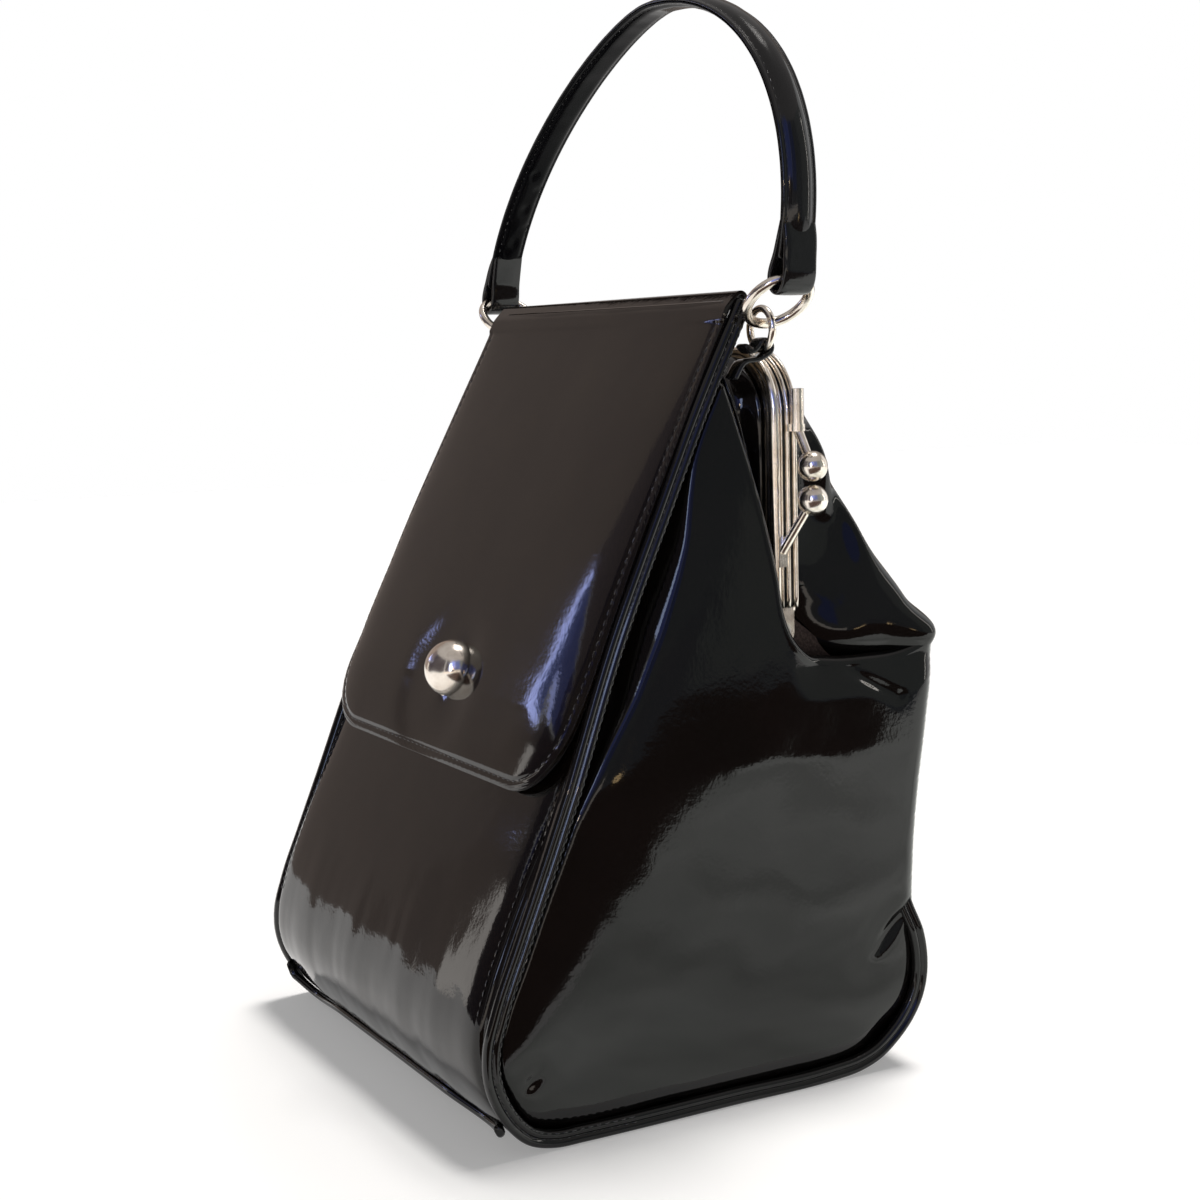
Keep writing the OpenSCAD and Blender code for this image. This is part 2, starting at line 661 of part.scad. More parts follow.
outer_wrap();
front_board();
base_board();
gusset(1);  // right_gusset
gusset(-1);  // left_gusset
rim(1);  // right_rim
rim(-1);  // left_rim
front_yoke();
lining();
pocket_front();
pocket_strip();
snap_stud();
snap_washer();
flap_face();
flap_backing();
snap_cap();
snap_socket();
front_frame();
rear_frame();
rivet(1);  // right_rivet
rivet(-1);  // left_rivet
front_clasp();
rear_clasp();
rear_yoke();
web(1);  // right_web
web(-1);  // left_web
tab(1);  // right_tab
tab(-1);  // left_tab
link_ring(1);  // right_link
link_ring(-1);  // left_link
large_ring(1);  // right_ring
large_ring(-1);  // left_ring
handle_strap();
handle_core();
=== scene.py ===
import json
import math

import bmesh
import bpy
import numpy as np
from mathutils import Matrix, Vector, noise

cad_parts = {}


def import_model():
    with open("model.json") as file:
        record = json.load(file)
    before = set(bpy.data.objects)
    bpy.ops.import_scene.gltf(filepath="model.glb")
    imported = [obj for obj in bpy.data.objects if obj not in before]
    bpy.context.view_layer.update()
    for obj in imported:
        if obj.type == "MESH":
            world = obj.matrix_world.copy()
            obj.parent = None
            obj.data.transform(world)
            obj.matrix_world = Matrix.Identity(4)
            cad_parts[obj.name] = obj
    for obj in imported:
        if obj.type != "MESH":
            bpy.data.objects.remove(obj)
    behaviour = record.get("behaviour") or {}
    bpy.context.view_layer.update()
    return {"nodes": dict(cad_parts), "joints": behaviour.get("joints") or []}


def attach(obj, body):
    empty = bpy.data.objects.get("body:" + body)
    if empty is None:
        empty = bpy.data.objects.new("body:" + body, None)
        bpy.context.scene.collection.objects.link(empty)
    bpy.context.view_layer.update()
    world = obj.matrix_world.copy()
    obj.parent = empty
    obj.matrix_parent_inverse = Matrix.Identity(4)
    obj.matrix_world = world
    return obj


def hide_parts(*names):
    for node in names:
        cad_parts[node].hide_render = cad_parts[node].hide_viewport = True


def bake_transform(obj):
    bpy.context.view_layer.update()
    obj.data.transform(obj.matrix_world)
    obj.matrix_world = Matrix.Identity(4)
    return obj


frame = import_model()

# Sizes of the bag in millimetres, as in the part's source
MM = 0.001
BODY_W, TOP_W, BASE_D, FRONT_H, TOP_Y = 186, 168, 167, 256, 11.5
KNEE_H, BACK_H, TAPER_H = 45, 144, 110
WALL, RIM_OUT, GUSSET_T, BOARD_T = 2.2, 4.5, 3, 1.6
POCKET_IN, POCKET_D, POCKET_TOP = 5, 5.8, 122
FLAP_LEN, FLAP_W, FLAP_TOP_W, FLAP_R, SNAP_UP = 167, 178, 164, 26, 30
FLAP_T, FLAP_BACK_T, FLAP_GAP = 1.4, 0.8, 1.8
FRAME_W, FRAME_H, FRAME_R, HINGE_H = 165, 240, 20, 150
STRAP_W, STRAP_T, HANDLE_H, APEX_X = 11.5, 4.5, 357, 28

# Where the photograph was taken from: place in millimetres, then degrees
CAMERA_PLACE = (601.58, -325.6, 241.0)
CAMERA_YAW, CAMERA_PITCH, CAMERA_ROLL = 61.13, -7.19, -1.45
SENSOR, FOCAL = 36, 58.7

LEAN = math.atan((TOP_Y + BASE_D/2)/(FRONT_H - KNEE_H))
SLOPE = math.hypot(TOP_Y + BASE_D/2, FRONT_H - KNEE_H)
SIDES = {"right": 1, "left": -1}


def between(value, start, end):
    """How far a value is from start to end: nought before, one beyond."""
    return min(max((value - start)/(end - start), 0), 1)


def bell(distance, width):
    """One at no distance, and fading to nought over a few widths."""
    return np.exp(-(distance/width)**2)


def front_point(s, n=0.0):
    """A point (y, z) of the front panel: s up the slope from the knee, n out of its face."""
    return (-BASE_D/2 + s*math.sin(LEAN) - n*math.cos(LEAN),
            KNEE_H + s*math.cos(LEAN) + n*math.sin(LEAN))


def half_width(z):
    """Half the width across the rims at a height."""
    taper = (BODY_W - TOP_W)/2*(z - TAPER_H)/(FRONT_H - TAPER_H)
    return BODY_W/2 - max(taper, 0)


def smooth_line(points, count):
    """Points evenly spaced on a smooth curve through the given ones."""
    p = np.array(points, float)
    gap = np.linalg.norm(np.diff(p, axis=0), axis=1)
    slope = np.diff(p, axis=0)/gap[:, None]
    middle = (slope[:-1]*gap[1:, None] + slope[1:]*gap[:-1, None])/(gap[1:] + gap[:-1])[:, None]
    tangent = np.vstack([slope[:1], middle, slope[-1:]])
    along = np.concatenate([[0], np.cumsum(gap)])
    want = np.linspace(0, along[-1], count)
    i = np.clip(np.searchsorted(along, want, "right") - 1, 0, len(gap) - 1)
    t = ((want - along[i])/gap[i])[:, None]
    g = gap[i][:, None]
    return ((2*t**3 - 3*t**2 + 1)*p[i] + (t**3 - 2*t**2 + t)*g*tangent[i]
            + (3*t**2 - 2*t**3)*p[i + 1] + (t**3 - t**2)*g*tangent[i + 1])


def spaced_line(points, shares):
    """Points on a smooth curve at shares of its length."""
    line = smooth_line(points, 600)
    along = np.linspace(0, 1, len(line))
    return np.stack([np.interp(shares, along, line[:, k]) for k in (0, 1)], axis=1)


def line_normals(line):
    """Unit normals of a line of (a, b) points, on its left side."""
    d = np.gradient(line, axis=0)
    d /= np.linalg.norm(d, axis=1)[:, None]
    return np.stack([-d[:, 1], d[:, 0]], axis=1)


def loft(rows, across, along):
    """A grid of points through rows of points, smooth both ways."""
    lines = np.array([smooth_line(row, across) for row in rows])
    return np.array([smooth_line(lines[:, i], along) for i in range(across)]).transpose(1, 0, 2)


def both_sides(row):
    """A row given from its right end to the middle, x = 0, and mirrored to the left."""
    return list(row) + [(-x, y, z) for x, y, z in reversed(row) if x > 0]


def distance_to(line, y, z):
    """Distance of a place (y, z) from a line of closely spaced points."""
    return np.min(np.hypot(line[:, 0] - y, line[:, 1] - z))


def ripple(place, size, seed=0.0):
    """Smooth noise from -1 to 1 with features about that many millimetres across."""
    x, y, z = place
    return noise.noise(Vector((x/size + seed, y/size - seed, z/size + 2*seed)))


def add_object(name, data):
    """An object with its data, in the scene."""
    obj = bpy.data.objects.new(name, data)
    bpy.context.scene.collection.objects.link(obj)
    return obj


def piece(name, verts, faces, material):
    """A smooth-shaded object from points in millimetres."""
    mesh = bpy.data.meshes.new(name)
    mesh.from_pydata([tuple(c*MM for c in v) for v in verts], [], faces)
    mesh.materials.append(material)
    mesh.shade_smooth()
    return add_object(name, mesh)


def grid_piece(name, grid, material, ring=False, caps=False, flip=False):
    """A piece from a grid of points: ring joins its last column to the first, caps close its ends."""
    rows, cols = grid.shape[:2]
    faces = []
    for r in range(rows - 1):
        for c in range(cols if ring else cols - 1):
            d = (c + 1) % cols
            faces.append((r*cols + c, r*cols + d, (r + 1)*cols + d, (r + 1)*cols + c))
    if caps:
        faces += [tuple(reversed(range(cols))), tuple(range((rows - 1)*cols, rows*cols))]
    if flip:
        faces = [tuple(reversed(f)) for f in faces]
    return piece(name, grid.reshape(-1, 3), faces, material)


def rounded(obj):
    """Smooths a piece with a subdivision surface."""
    soft = obj.modifiers.new("rounding", "SUBSURF")
    soft.levels = soft.render_levels = 1
    return obj


def thicken(obj, thickness, even=True):
    """Gives a sheet its thickness on the back of its faces, and rounds its edges."""
    solid = obj.modifiers.new("thickness", "SOLIDIFY")
    solid.thickness = thickness*MM
    solid.offset = -1
    solid.use_even_offset = even
    return rounded(obj)


def place(obj, body, slot, *nodes):
    """Rides the piece on its body and hides the nodes that it stands for; slot is not used."""
    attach(obj, body)
    if nodes:
        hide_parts(*nodes)
    return obj


def swept(name, line, normals, section, lift, material):
    """A bar along a line (a, b): section holds (x, out) pairs, and lift turns (x, a, b) into a point."""
    grid = np.array([[lift(x, a + out*na, b + out*nb) for x, out in section]
                     for (a, b), (na, nb) in zip(line, normals)])
    return grid_piece(name, grid, material, ring=True, caps=True)


def joined(objs):
    """Several loose objects as one."""
    whole = bmesh.new()
    for obj in objs:
        whole.from_mesh(obj.data)
    whole.to_mesh(objs[0].data)
    whole.free()
    for obj in objs[1:]:
        bpy.data.objects.remove(obj)
    return objs[0]


def join_doubles(obj):
    """Merges the points that lie on each other."""
    mesh = bmesh.new()
    mesh.from_mesh(obj.data)
    bmesh.ops.remove_doubles(mesh, verts=mesh.verts, dist=0.01*MM)
    bmesh.ops.recalc_face_normals(mesh, faces=mesh.faces)
    mesh.to_mesh(obj.data)
    mesh.free()
    return obj


def lathe(name, profile, turns, centre, along, material):
    """A round piece: profile holds (radius, height) pairs, height along a direction from the centre."""
    axis = Vector(along).normalized()
    side = axis.orthogonal().normalized()
    other = axis.cross(side)
    grid = []
    for i in range(turns):
        a = 2*math.pi*i/turns
        spoke = math.cos(a)*side + math.sin(a)*other
        grid.append([tuple(Vector(centre) + float(r)*spoke + float(h)*axis) for r, h in profile])
    return join_doubles(grid_piece(name, np.array(grid + grid[:1]), material))


def group(name, inputs, outputs):
    """A shader node group with number inputs (name, value) and outputs (name, kind)."""
    tree = bpy.data.node_groups.new(name, "ShaderNodeTree")
    for label, value in inputs:
        socket = tree.interface.new_socket(label, in_out="INPUT", socket_type="NodeSocketFloat")
        socket.default_value = value
    for label, kind in outputs:
        tree.interface.new_socket(label, in_out="OUTPUT", socket_type=f"NodeSocket{kind}")
    return tree, tree.nodes.new("NodeGroupInput"), tree.nodes.new("NodeGroupOutput")


def noise_node(tree, scale, detail, rough=0.5):
    """Noise over the piece's own metres."""
    coord = tree.nodes.new("ShaderNodeTexCoord")
    cloud = tree.nodes.new("ShaderNodeTexNoise")
    cloud.inputs["Scale"].default_value = scale
    cloud.inputs["Detail"].default_value = detail
    cloud.inputs["Roughness"].default_value = rough
    tree.links.new(coord.outputs["Object"], cloud.inputs["Vector"])
    return cloud


def feed(tree, socket, value):
    """Sets a socket to a number, or links another socket to it."""
    if isinstance(value, (int, float)):
        socket.default_value = value
    else:
        tree.links.new(value, socket)


def math_node(tree, kind, *operands):
    """A maths node; each operand is a number or a socket."""
    node = tree.nodes.new("ShaderNodeMath")
    node.operation = kind
    for socket, value in zip(node.inputs, operands):
        feed(tree, socket, value)
    return node.outputs[0]


def ramp_node(tree, value, stops):
    """A colour ramp with stops (place, colour)."""
    ramp = tree.nodes.new("ShaderNodeValToRGB")
    while len(ramp.color_ramp.elements) < len(stops):
        ramp.color_ramp.elements.new(0.5)
    for element, (at, colour) in zip(ramp.color_ramp.elements, stops):
        element.position = at
        element.color = (*colour, 1)
    tree.links.new(value, ramp.inputs["Fac"])
    return ramp.outputs["Color"]


def bump_node(tree, height, distance, strength, normal=None):
    """A bump of a height, over a distance in metres."""
    bump = tree.nodes.new("ShaderNodeBump")
    bump.inputs["Distance"].default_value = distance
    feed(tree, bump.inputs["Strength"], strength)
    tree.links.new(height, bump.inputs["Height"])
    if normal is not None:
        tree.links.new(normal, bump.inputs["Normal"])
    return bump.outputs["Normal"]


def patent_surface_group():
    """Slow waves, fine orange peel and handling smears of a patent finish."""
    tree, given, put = group("patent_surface",
                             [("Waves", 0.3), ("Peel", 0.1), ("Smears", 0.1), ("Gloss", 0.05)],
                             [("Normal", "Vector"), ("Roughness", "Float"), ("Shade", "Float")])
    waves = noise_node(tree, 38, 2)
    peel = noise_node(tree, 700, 2)
    smears = noise_node(tree, 90, 5, 0.65)
    wavy = bump_node(tree, waves.outputs["Fac"], 4*MM, given.outputs["Waves"])
    fine = bump_node(tree, peel.outputs["Fac"], 0.2*MM, given.outputs["Peel"], wavy)
    smear = math_node(tree, "MULTIPLY", smears.outputs["Fac"], given.outputs["Smears"])
    tree.links.new(fine, put.inputs["Normal"])
    tree.links.new(math_node(tree, "ADD", smear, given.outputs["Gloss"]), put.inputs["Roughness"])
    tree.links.new(waves.outputs["Fac"], put.inputs["Shade"])
    return tree


def worn_metal_group():
    """Fine scratches and dull patches on polished metal."""
    tree, given, put = group("worn_metal", [("Scratches", 0.1), ("Dull", 0.1), ("Gloss", 0.08)],
                             [("Normal", "Vector"), ("Roughness", "Float"), ("Tarnish", "Float")])
    cloud = noise_node(tree, 160, 5, 0.6)
    lines = noise_node(tree, 1400, 3, 0.7)
    lines.inputs["Distortion"].default_value = 1.5
    fine = bump_node(tree, lines.outputs["Fac"], 0.1*MM, given.outputs["Scratches"])
    tree.links.new(fine, put.inputs["Normal"])
    dull = math_node(tree, "MULTIPLY", cloud.outputs["Fac"], given.outputs["Dull"])
    tree.links.new(math_node(tree, "ADD", dull, given.outputs["Gloss"]), put.inputs["Roughness"])
    tree.links.new(cloud.outputs["Fac"], put.inputs["Tarnish"])
    return tree


PATENT_SURFACE = patent_surface_group()
WORN_METAL = worn_metal_group()
ORANGE_PEEL = 0.08


def new_material(name, metallic=0.0, specular=0.5):
    """A material with its node tree and its Principled shader."""
    material = bpy.data.materials.new(name)
    material.use_nodes = True
    shader = material.node_tree.nodes["Principled BSDF"]
    shader.inputs["Metallic"].default_value = metallic
    shader.inputs["Specular IOR Level"].default_value = specular
    return material, material.node_tree, shader


def wear(tree, shader, surface, values, stops):
    """Puts a surface group on a shader: its values in order, and colours by its last output."""
    skin = tree.nodes.new("ShaderNodeGroup")
    skin.node_tree = surface
    for socket, value in zip(skin.inputs, values):
        socket.default_value = value
    tree.links.new(ramp_node(tree, skin.outputs[-1], stops), shader.inputs["Base Color"])
    tree.links.new(skin.outputs["Roughness"], shader.inputs["Roughness"])
    tree.links.new(skin.outputs["Normal"], shader.inputs["Normal"])


def patent(name, dark, light, waves, smears, gloss, specular=0.45):
    """Patent leather: near-black colour that drifts, under a glassy film."""
    material, tree, shader = new_material(name, specular=specular)
    wear(tree, shader, PATENT_SURFACE, (waves, ORANGE_PEEL, smears, gloss), [(0.3, dark), (0.7, light)])
    return material


def metal(name, dark, light, scratches, dull, gloss):
    """Plated metal with a warm cast, duller and darker in patches."""
    material, tree, shader = new_material(name, metallic=1.0)
    wear(tree, shader, WORN_METAL, (scratches, dull, gloss), [(0.35, dark), (0.6, light)])
    return material


def woven(name, dark, light, thread, specular=0.2, rough=0.85):
    """Cloth, thread or fibre board with a fine weave; thread is its width in millimetres."""
    material, tree, shader = new_material(name, specular=specular)
    coord = tree.nodes.new("ShaderNodeTexCoord")
    weave = tree.nodes.new("ShaderNodeTexVoronoi")
    weave.inputs["Scale"].default_value = 1/(thread*MM)
    tree.links.new(coord.outputs["Object"], weave.inputs["Vector"])
    colour = ramp_node(tree, weave.outputs["Distance"], [(0.1, light), (0.7, dark)])
    tree.links.new(colour, shader.inputs["Base Color"])
    shader.inputs["Roughness"].default_value = rough
    tree.links.new(bump_node(tree, weave.outputs["Distance"], 0.3*MM, 0.5), shader.inputs["Normal"])
    return material


PATENT = patent("patent_black", (0.003, 0.002, 0.002), (0.006, 0.004, 0.003), 0.05, 0.05, 0.035)
PATENT_FLAP = patent("patent_flap", (0.005, 0.003, 0.003), (0.01, 0.007, 0.005), 0.04, 0.05, 0.04)
PATENT_SIDE = patent("patent_gusset", (0.002, 0.002, 0.002), (0.004, 0.003, 0.003), 0.05, 0.05, 0.035)
RIM_LEATHER = patent("patent_rim", (0.002, 0.002, 0.002), (0.005, 0.004, 0.004), 0.06, 0.08, 0.045)
PATENT_STRAP = patent("patent_strap", (0.004, 0.004, 0.005), (0.008, 0.008, 0.009), 0.1, 0.08, 0.05)
# A darker, nearly unreflective copy of the strap's patent for its inner face: painted shade
PATENT_INSIDE_SHADED = patent("patent_inside_shaded", (0.002, 0.002, 0.003), (0.005, 0.005, 0.006), 0.25, 0.1, 0.06,
                       specular=0.04)
BACKING = patent("satin_backing", (0.01, 0.009, 0.009), (0.016, 0.014, 0.014), 0.3, 0.2, 0.3)
THREAD = woven("black_thread", (0.003, 0.003, 0.003), (0.012, 0.011, 0.012), 0.4, 0.8, 0.25)
LINING = woven("lining_twill", (0.03, 0.02, 0.018), (0.07, 0.05, 0.043), 0.8)
BOARD = woven("fibre_board", (0.2, 0.15, 0.1), (0.35, 0.28, 0.19), 1.2)
CORE = woven("strap_filler", (0.12, 0.1, 0.08), (0.2, 0.18, 0.15), 1)
NICKEL = metal("warm_nickel", (0.74, 0.66, 0.57), (0.95, 0.88, 0.79), 0.12, 0.16, 0.09)
STEEL = metal("plated_steel", (0.4, 0.37, 0.34), (0.56, 0.53, 0.5), 0.3, 0.25, 0.2)

# The pieces of the part's source that stay as they are, with their finishes
SOURCE_FINISH = {
    "front_board base_board": BOARD, "handle_core": CORE, "snap_washer right_rivet left_rivet": STEEL,
    "snap_stud snap_socket snap_cap front_frame rear_frame front_clasp rear_clasp": NICKEL,
    "right_link left_link right_ring left_ring": NICKEL}
for node_names, finish in SOURCE_FINISH.items():
    for node_name in node_names.split():
        node = frame["nodes"][node_name]
        node.data.materials.clear()
        node.data.materials.append(finish)

# The body's lines, seen from the side, as (y, z)
RIM_LINE = [(12.5, 257.8), (-5.5, 225), (-22, 192), (-40, 155), (-58.5, 110), (-67.5, 88),
            (-76.8, 66), (-84.6, 47), (-88, 35), (-88, 26), (-85.3, 17), (-80.5, 9), (-74, 3),
            (-65, 0.3), (-55, 0), (0, 0), (38, 0), (51, 1.3), (58.5, 3.8), (66, 8.9), (72, 15),
            (76, 21.5), (78.2, 29), (78.3, 38), (76.5, 47), (74, 56), (73.3, 66), (75, 84),
            (78, 104), (81.5, 124), (84, 138)]
WRAP_LINE = [(11.5, 256), (-25.4, 174), (-61, 95), (-80, 52), (-83.5, 40), (-83.3, 26), (-80, 15),
             (-74.5, 6.5), (-66, 1.6), (-50, 0.6), (0, 0.6), (48, 0.6), (58, 4.6), (67, 11),
             (73, 20), (75.5, 30), (75.5, 42), (74, 56), (74.3, 70), (76.8, 94), (80, 114),
             (83.5, 132), (86, 144)]
LIP_LINE = [(5, 232), (8.3, 218), (13.6, 198.5), (18, 180), (20.3, 168), (22.2, 155.4),
            (26, 146.7), (33, 140.5), (43, 138.4), (56, 137.8), (70, 138.4), (86.6, 143)]
GUSSET_FRONT = [(-78.5, 15), (-82.5, 24), (-83.2, 34), (-80, 45.3), (-72, 64.3), (-63, 86), (-54, 108),
                (-35.5, 152.8), (-17.8, 189.6), (-2, 221), (5, 232)]
GUSSET_BACK = [(64.5, 10), (72, 19), (75, 30), (75.4, 42), (75.2, 56), (75.3, 70), (77.7, 94),
               (80.9, 114), (84.4, 132), (86.6, 143)]
GUSSET_BASE = [(-78.5, 15), (-72, 6), (-62, 2.4), (-20, 1.6), (20, 1.6), (46, 2), (56, 4.6), (64.5, 10)]
# The black valley behind the front rim: its width at heights
VALLEY_Z = [0, 80, 102, 121, 136, 154, 171, 182, 195, 207, 232]
VALLEY_W = [2.2, 2.5, 3.3, 7.0, 11.4, 13.4, 12.3, 10.5, 6.5, 3.5, 2.0]
# Behind this depth is the back, whose rims sink into the leather between two heights
BACK_Y, SINK_LOW, SINK_HIGH = 40, 46, 60
BACK_SAG, ROLL_R = 5.5, 4
# The sides' relief: valley, facet under the notch, puff, and the dips at the base and the back
VALLEY_DEEP, FACET_DEEP, PUFF_HIGH, BASE_DIP, BACK_DIP = 6.3, 1.7, 3.2, 1.8, 3.0


def leather_wrap():
    """The leather down the front, under the base and up the back, sagging between its seams."""
    line = smooth_line(WRAP_LINE, 220)
    grid = []
    for y, z in line:
        behind = y > BACK_Y
        edge = half_width(z) - RIM_OUT + 0.6 - 3.6*behind*between(z, SINK_LOW, SINK_HIGH)
        row = []
        for u in np.linspace(-1, 1, 61):
            sag = 0.0
            if behind:
                sag = BACK_SAG*(1 - u*u)*math.sin(math.pi*between(z, 0, BACK_H))**0.8
            row.append((u*edge, y + sag + 0.5*ripple((u*edge, y, z), 40), z))
        grid.append(row)
    grid = np.array(grid)
    grid[:, :, 2] = np.maximum(grid[:, :, 2], WALL + 0.1)
    return thicken(grid_piece("leather_wrap", grid, PATENT), WALL)


# Creases and dents of the sides: two ends (y, z), width and depth in millimetres
GUSSET_CREASES = [((57, 41), (72, 55), 2.2, 1.1), ((54, 38), (74, 58), 8, 1.2),
                  ((-74, 20), (-69, 24), 1.5, 1.0), ((-76, 18), (-64, 28), 6, 0.8),
                  ((50, 136), (68, 126), 1.6, 1.3), ((-20, 22), (30, 74), 14, 0.7),
                  ((-10, 60), (40, 118), 16, 0.6)]


def crease(grid, creases):
    """Presses soft grooves into a side's grid of points."""
    for a, b, width, depth in creases:
        a, b = np.array(a, float), np.array(b, float)
        run = b - a
        share = np.clip(((grid[..., 1:] - a) @ run)/(run @ run), 0, 1)
        near = np.linalg.norm(grid[..., 1:] - (a + share[..., None]*run), axis=-1)
        grid[..., 0] -= depth*bell(near, width)*(0.3 + 0.7*np.sin(math.pi*np.clip(share, 0.1, 0.9)))


def gusset(side):
    """A side of the bag: a soft puffed sheet behind the rim, rolled in at the lip of the notch."""
    across, along = 110, 130
    left = smooth_line(GUSSET_FRONT, along)
    right = smooth_line(GUSSET_BACK, along)
    u = np.linspace(0, 1, across)**1.5
    low = spaced_line(GUSSET_BASE, u)
    top = spaced_line(LIP_LINE, u)
    u = u[None, :, None]
    v = np.linspace(0, 1, along)[:, None, None]
    flat = ((1 - v)*low[None] + v*top[None] + (1 - u)*left[:, None] + u*right[:, None]
            - ((1 - u)*(1 - v)*low[0] + u*(1 - v)*low[-1] + (1 - u)*v*top[0] + u*v*top[-1]))
    grid = np.zeros((along, across, 3))
    lines = [smooth_line(points, 700) for points in (GUSSET_FRONT, GUSSET_BACK, GUSSET_BASE)]
    for r in range(along):
        for c in range(across):
            y, z = flat[r, c]
            front, rear, under = (distance_to(line, y, z) for line in lines)
            wide = np.interp(z, VALLEY_Z, VALLEY_W)
            step = between(front/wide, 0.36, 0.98)
            deep = min(0.5*wide + 1.2, VALLEY_DEEP)
            puff = -deep*(1 - 0.6*step - 0.4*step*step*(3 - 2*step))
            facet = between(z, 127, 138)*between(y, 24, 36)
            puff -= FACET_DEEP*facet*facet
            puff += PUFF_HIGH*(1 - math.exp(-min(front, under)/9)) - BASE_DIP*math.exp(-under/3)
            shut = between(z, SINK_LOW + 16, SINK_LOW)
            turn = max(ROLL_R - rear, 0)
            puff -= shut*BACK_DIP*math.exp(-rear/ROLL_R)
            puff -= (1 - shut)*(ROLL_R - math.sqrt(max(ROLL_R**2 - turn*turn, 0)))
            puff += 0.6*ripple((0, y, z), 70, side)
            grid[r, c] = (half_width(z) - RIM_OUT + 0.4 + puff, y, z)
    for _ in range(4):
        puff = grid[:, :, 0]
        puff[1:-1, 1:-1] = (puff[1:-1, 1:-1]*2 + puff[:-2, 1:-1] + puff[2:, 1:-1]
                            + puff[1:-1, :-2] + puff[1:-1, 2:])/6
    crease(grid, GUSSET_CREASES)
    normals = line_normals(top)
    roll = [(0.2, 1.4), (-1.2, 2.6), (-3.4, 3.2), (-6, 2.6), (-8.5, 0.6), (-10, -3)]
    rows = [[(grid[-1, c, 0] + dx, *(top[c] + out*normals[c])) for c in range(across)]
            for dx, out in roll]
    grid = np.concatenate([grid, np.array(rows)])
    grid[:, :, 0] *= side
    sheet = grid_piece("side_gusset", grid, PATENT_SIDE, flip=side < 0)
    return thicken(sheet, 1.6, even=False)


def rim(side):
    """The turned seam: two thicknesses of leather side by side, and the seam's groove between them."""
    line = smooth_line(RIM_LINE, 260)
    section = [(0, -5.8), (3.2, -5.8), (4.2, -5.2), (4.5, -4.3), (4.2, -3.4), (3.3, -2.9), (4.2, -2.4),
               (4.5, -1.5), (4.2, -0.5), (3.4, 0), (0, 0)]

    def lift(x, y, z):
        sunk = 4.2*(y > BACK_Y)*between(z, SINK_LOW, SINK_HIGH)
        return side*(half_width(z) - RIM_OUT + x - sunk), y, max(z, 0)

    obj = swept("rim_seam", line, -line_normals(line), section, lift, RIM_LEATHER)
    if side < 0:
        obj.data.flip_normals()
    return rounded(obj)


POCKET_LINE = [front_point(POCKET_TOP, 5.4), (-60.6, 104), (-76.6, 71.5), (-85.9, 49), (-88.9, 38),
               (-89.4, 30), (-88, 22.5), (-84.6, 15.5), (-80.4, 9)]


def pocket():
    """The front pocket: one sheet, rolled back at both sides to its strips."""
    line = smooth_line(POCKET_LINE, 110)
    normals = line_normals(line)
    depth = [(0, 5.0), (0.15, 3.0), (0.7, 1.4), (1.8, 0.5), (3.4, 0.15), (6, 0)]
    rows = []
    for (y, z), (ny, nz) in zip(line, -normals):
        half = half_width(z) - POCKET_IN
        shut = between(z, 8, 22)
        edge = [(half - inset, -down*shut) for inset, down in depth]
        flat = [(half*u, 0.5*(1 - u*u)) for u in np.linspace(0.9, 0, 40)]
        section = [(x, out - 0.9*math.exp(-(half - x)/9)) for x, out in edge + flat]
        section += [(-x, out) for x, out in reversed(section[:-1])]
        low = bell(z - 34, 26)
        row = []
        for x, out in section:
            out += low*(0.42*ripple((x, 0.12*z, 0), 17, 2) + 0.14*ripple((x, 0.2*z, 9), 6, 4))
            row.append((x, y + out*ny, z + out*nz))
        rows.append(row)
    return thicken(grid_piece("front_pocket", np.array(rows), PATENT), 1.4, even=False)


def pocket_piping():
    """The thin cord bound along the pocket's lower edge, its ends turned up beside the rims."""
    half, thick = half_width(0) - POCKET_IN, 1.5
    path = [(-half - 0.4, -83.5, 13.5), (-half, -82.2, 9.6), (-half + 3, -80.2, 7.2),
            (-half/2, -79.6, 6.8), (0, -79.5, 6.8), (half/2, -79.6, 6.8), (half - 3, -80.2, 7.0),
            (half, -81.4, 7.6), (half + 0.4, -82.4, 9.4)]
    turns = np.linspace(0, 2*math.pi, 13)[:-1]
    grid = [[(x, y + thick*math.cos(a), z + thick*math.sin(a)) for a in turns]
            for x, y, z in smooth_line(path, 120)]
    return grid_piece("pocket_piping", np.array(grid), RIM_LEATHER, ring=True, caps=True)


# The flap, in places up the front panel's slope and heights off it
FLAP_LOW = SLOPE - FLAP_LEN
HINGE_R = WALL + BOARD_T/4
HINGE_S = SLOPE + HINGE_R - 0.9
HINGE_N = -(WALL + BOARD_T)/2
FLAP_OUT = POCKET_D + FLAP_GAP + FLAP_BACK_T + FLAP_T
SNAP_S, SNAP_X = FLAP_LOW + SNAP_UP, 2.2
FLAP_LINE = [(FLAP_LOW, 9.0), (FLAP_LOW + 8, 9.6), (SNAP_S, FLAP_OUT), (123, 9.4), (150, 8.3),
             (174, 6.6), (200, 4.6), (218, 3.2), (SLOPE - HINGE_R, 2.5)]
# Its relief: stitch furrow, puckers between the stitches, curled edge, and the snap's dimple
STITCH_IN, FURROW, PUCKER_IN, PUCKER, PUCKER_PITCH = 3, 0.2, 1.6, 0.07, 3.1
CURL, CURL_LOW, CURL_WIDE, DIMPLE, DIMPLE_R = 0.5, 2.9, 7.5, 0.77, 25


def flap_half(s):
    """Half the flap's width at a place on the slope, with its round lower corners."""
    half = FLAP_W/2 - between(s, FLAP_LOW + FLAP_LEN/4, SLOPE)*(FLAP_W - FLAP_TOP_W)/2
    up = s - FLAP_LOW
    if up < FLAP_R:
        half -= FLAP_R - math.sqrt(max(FLAP_R**2 - (FLAP_R - up)**2, 0))
    return half


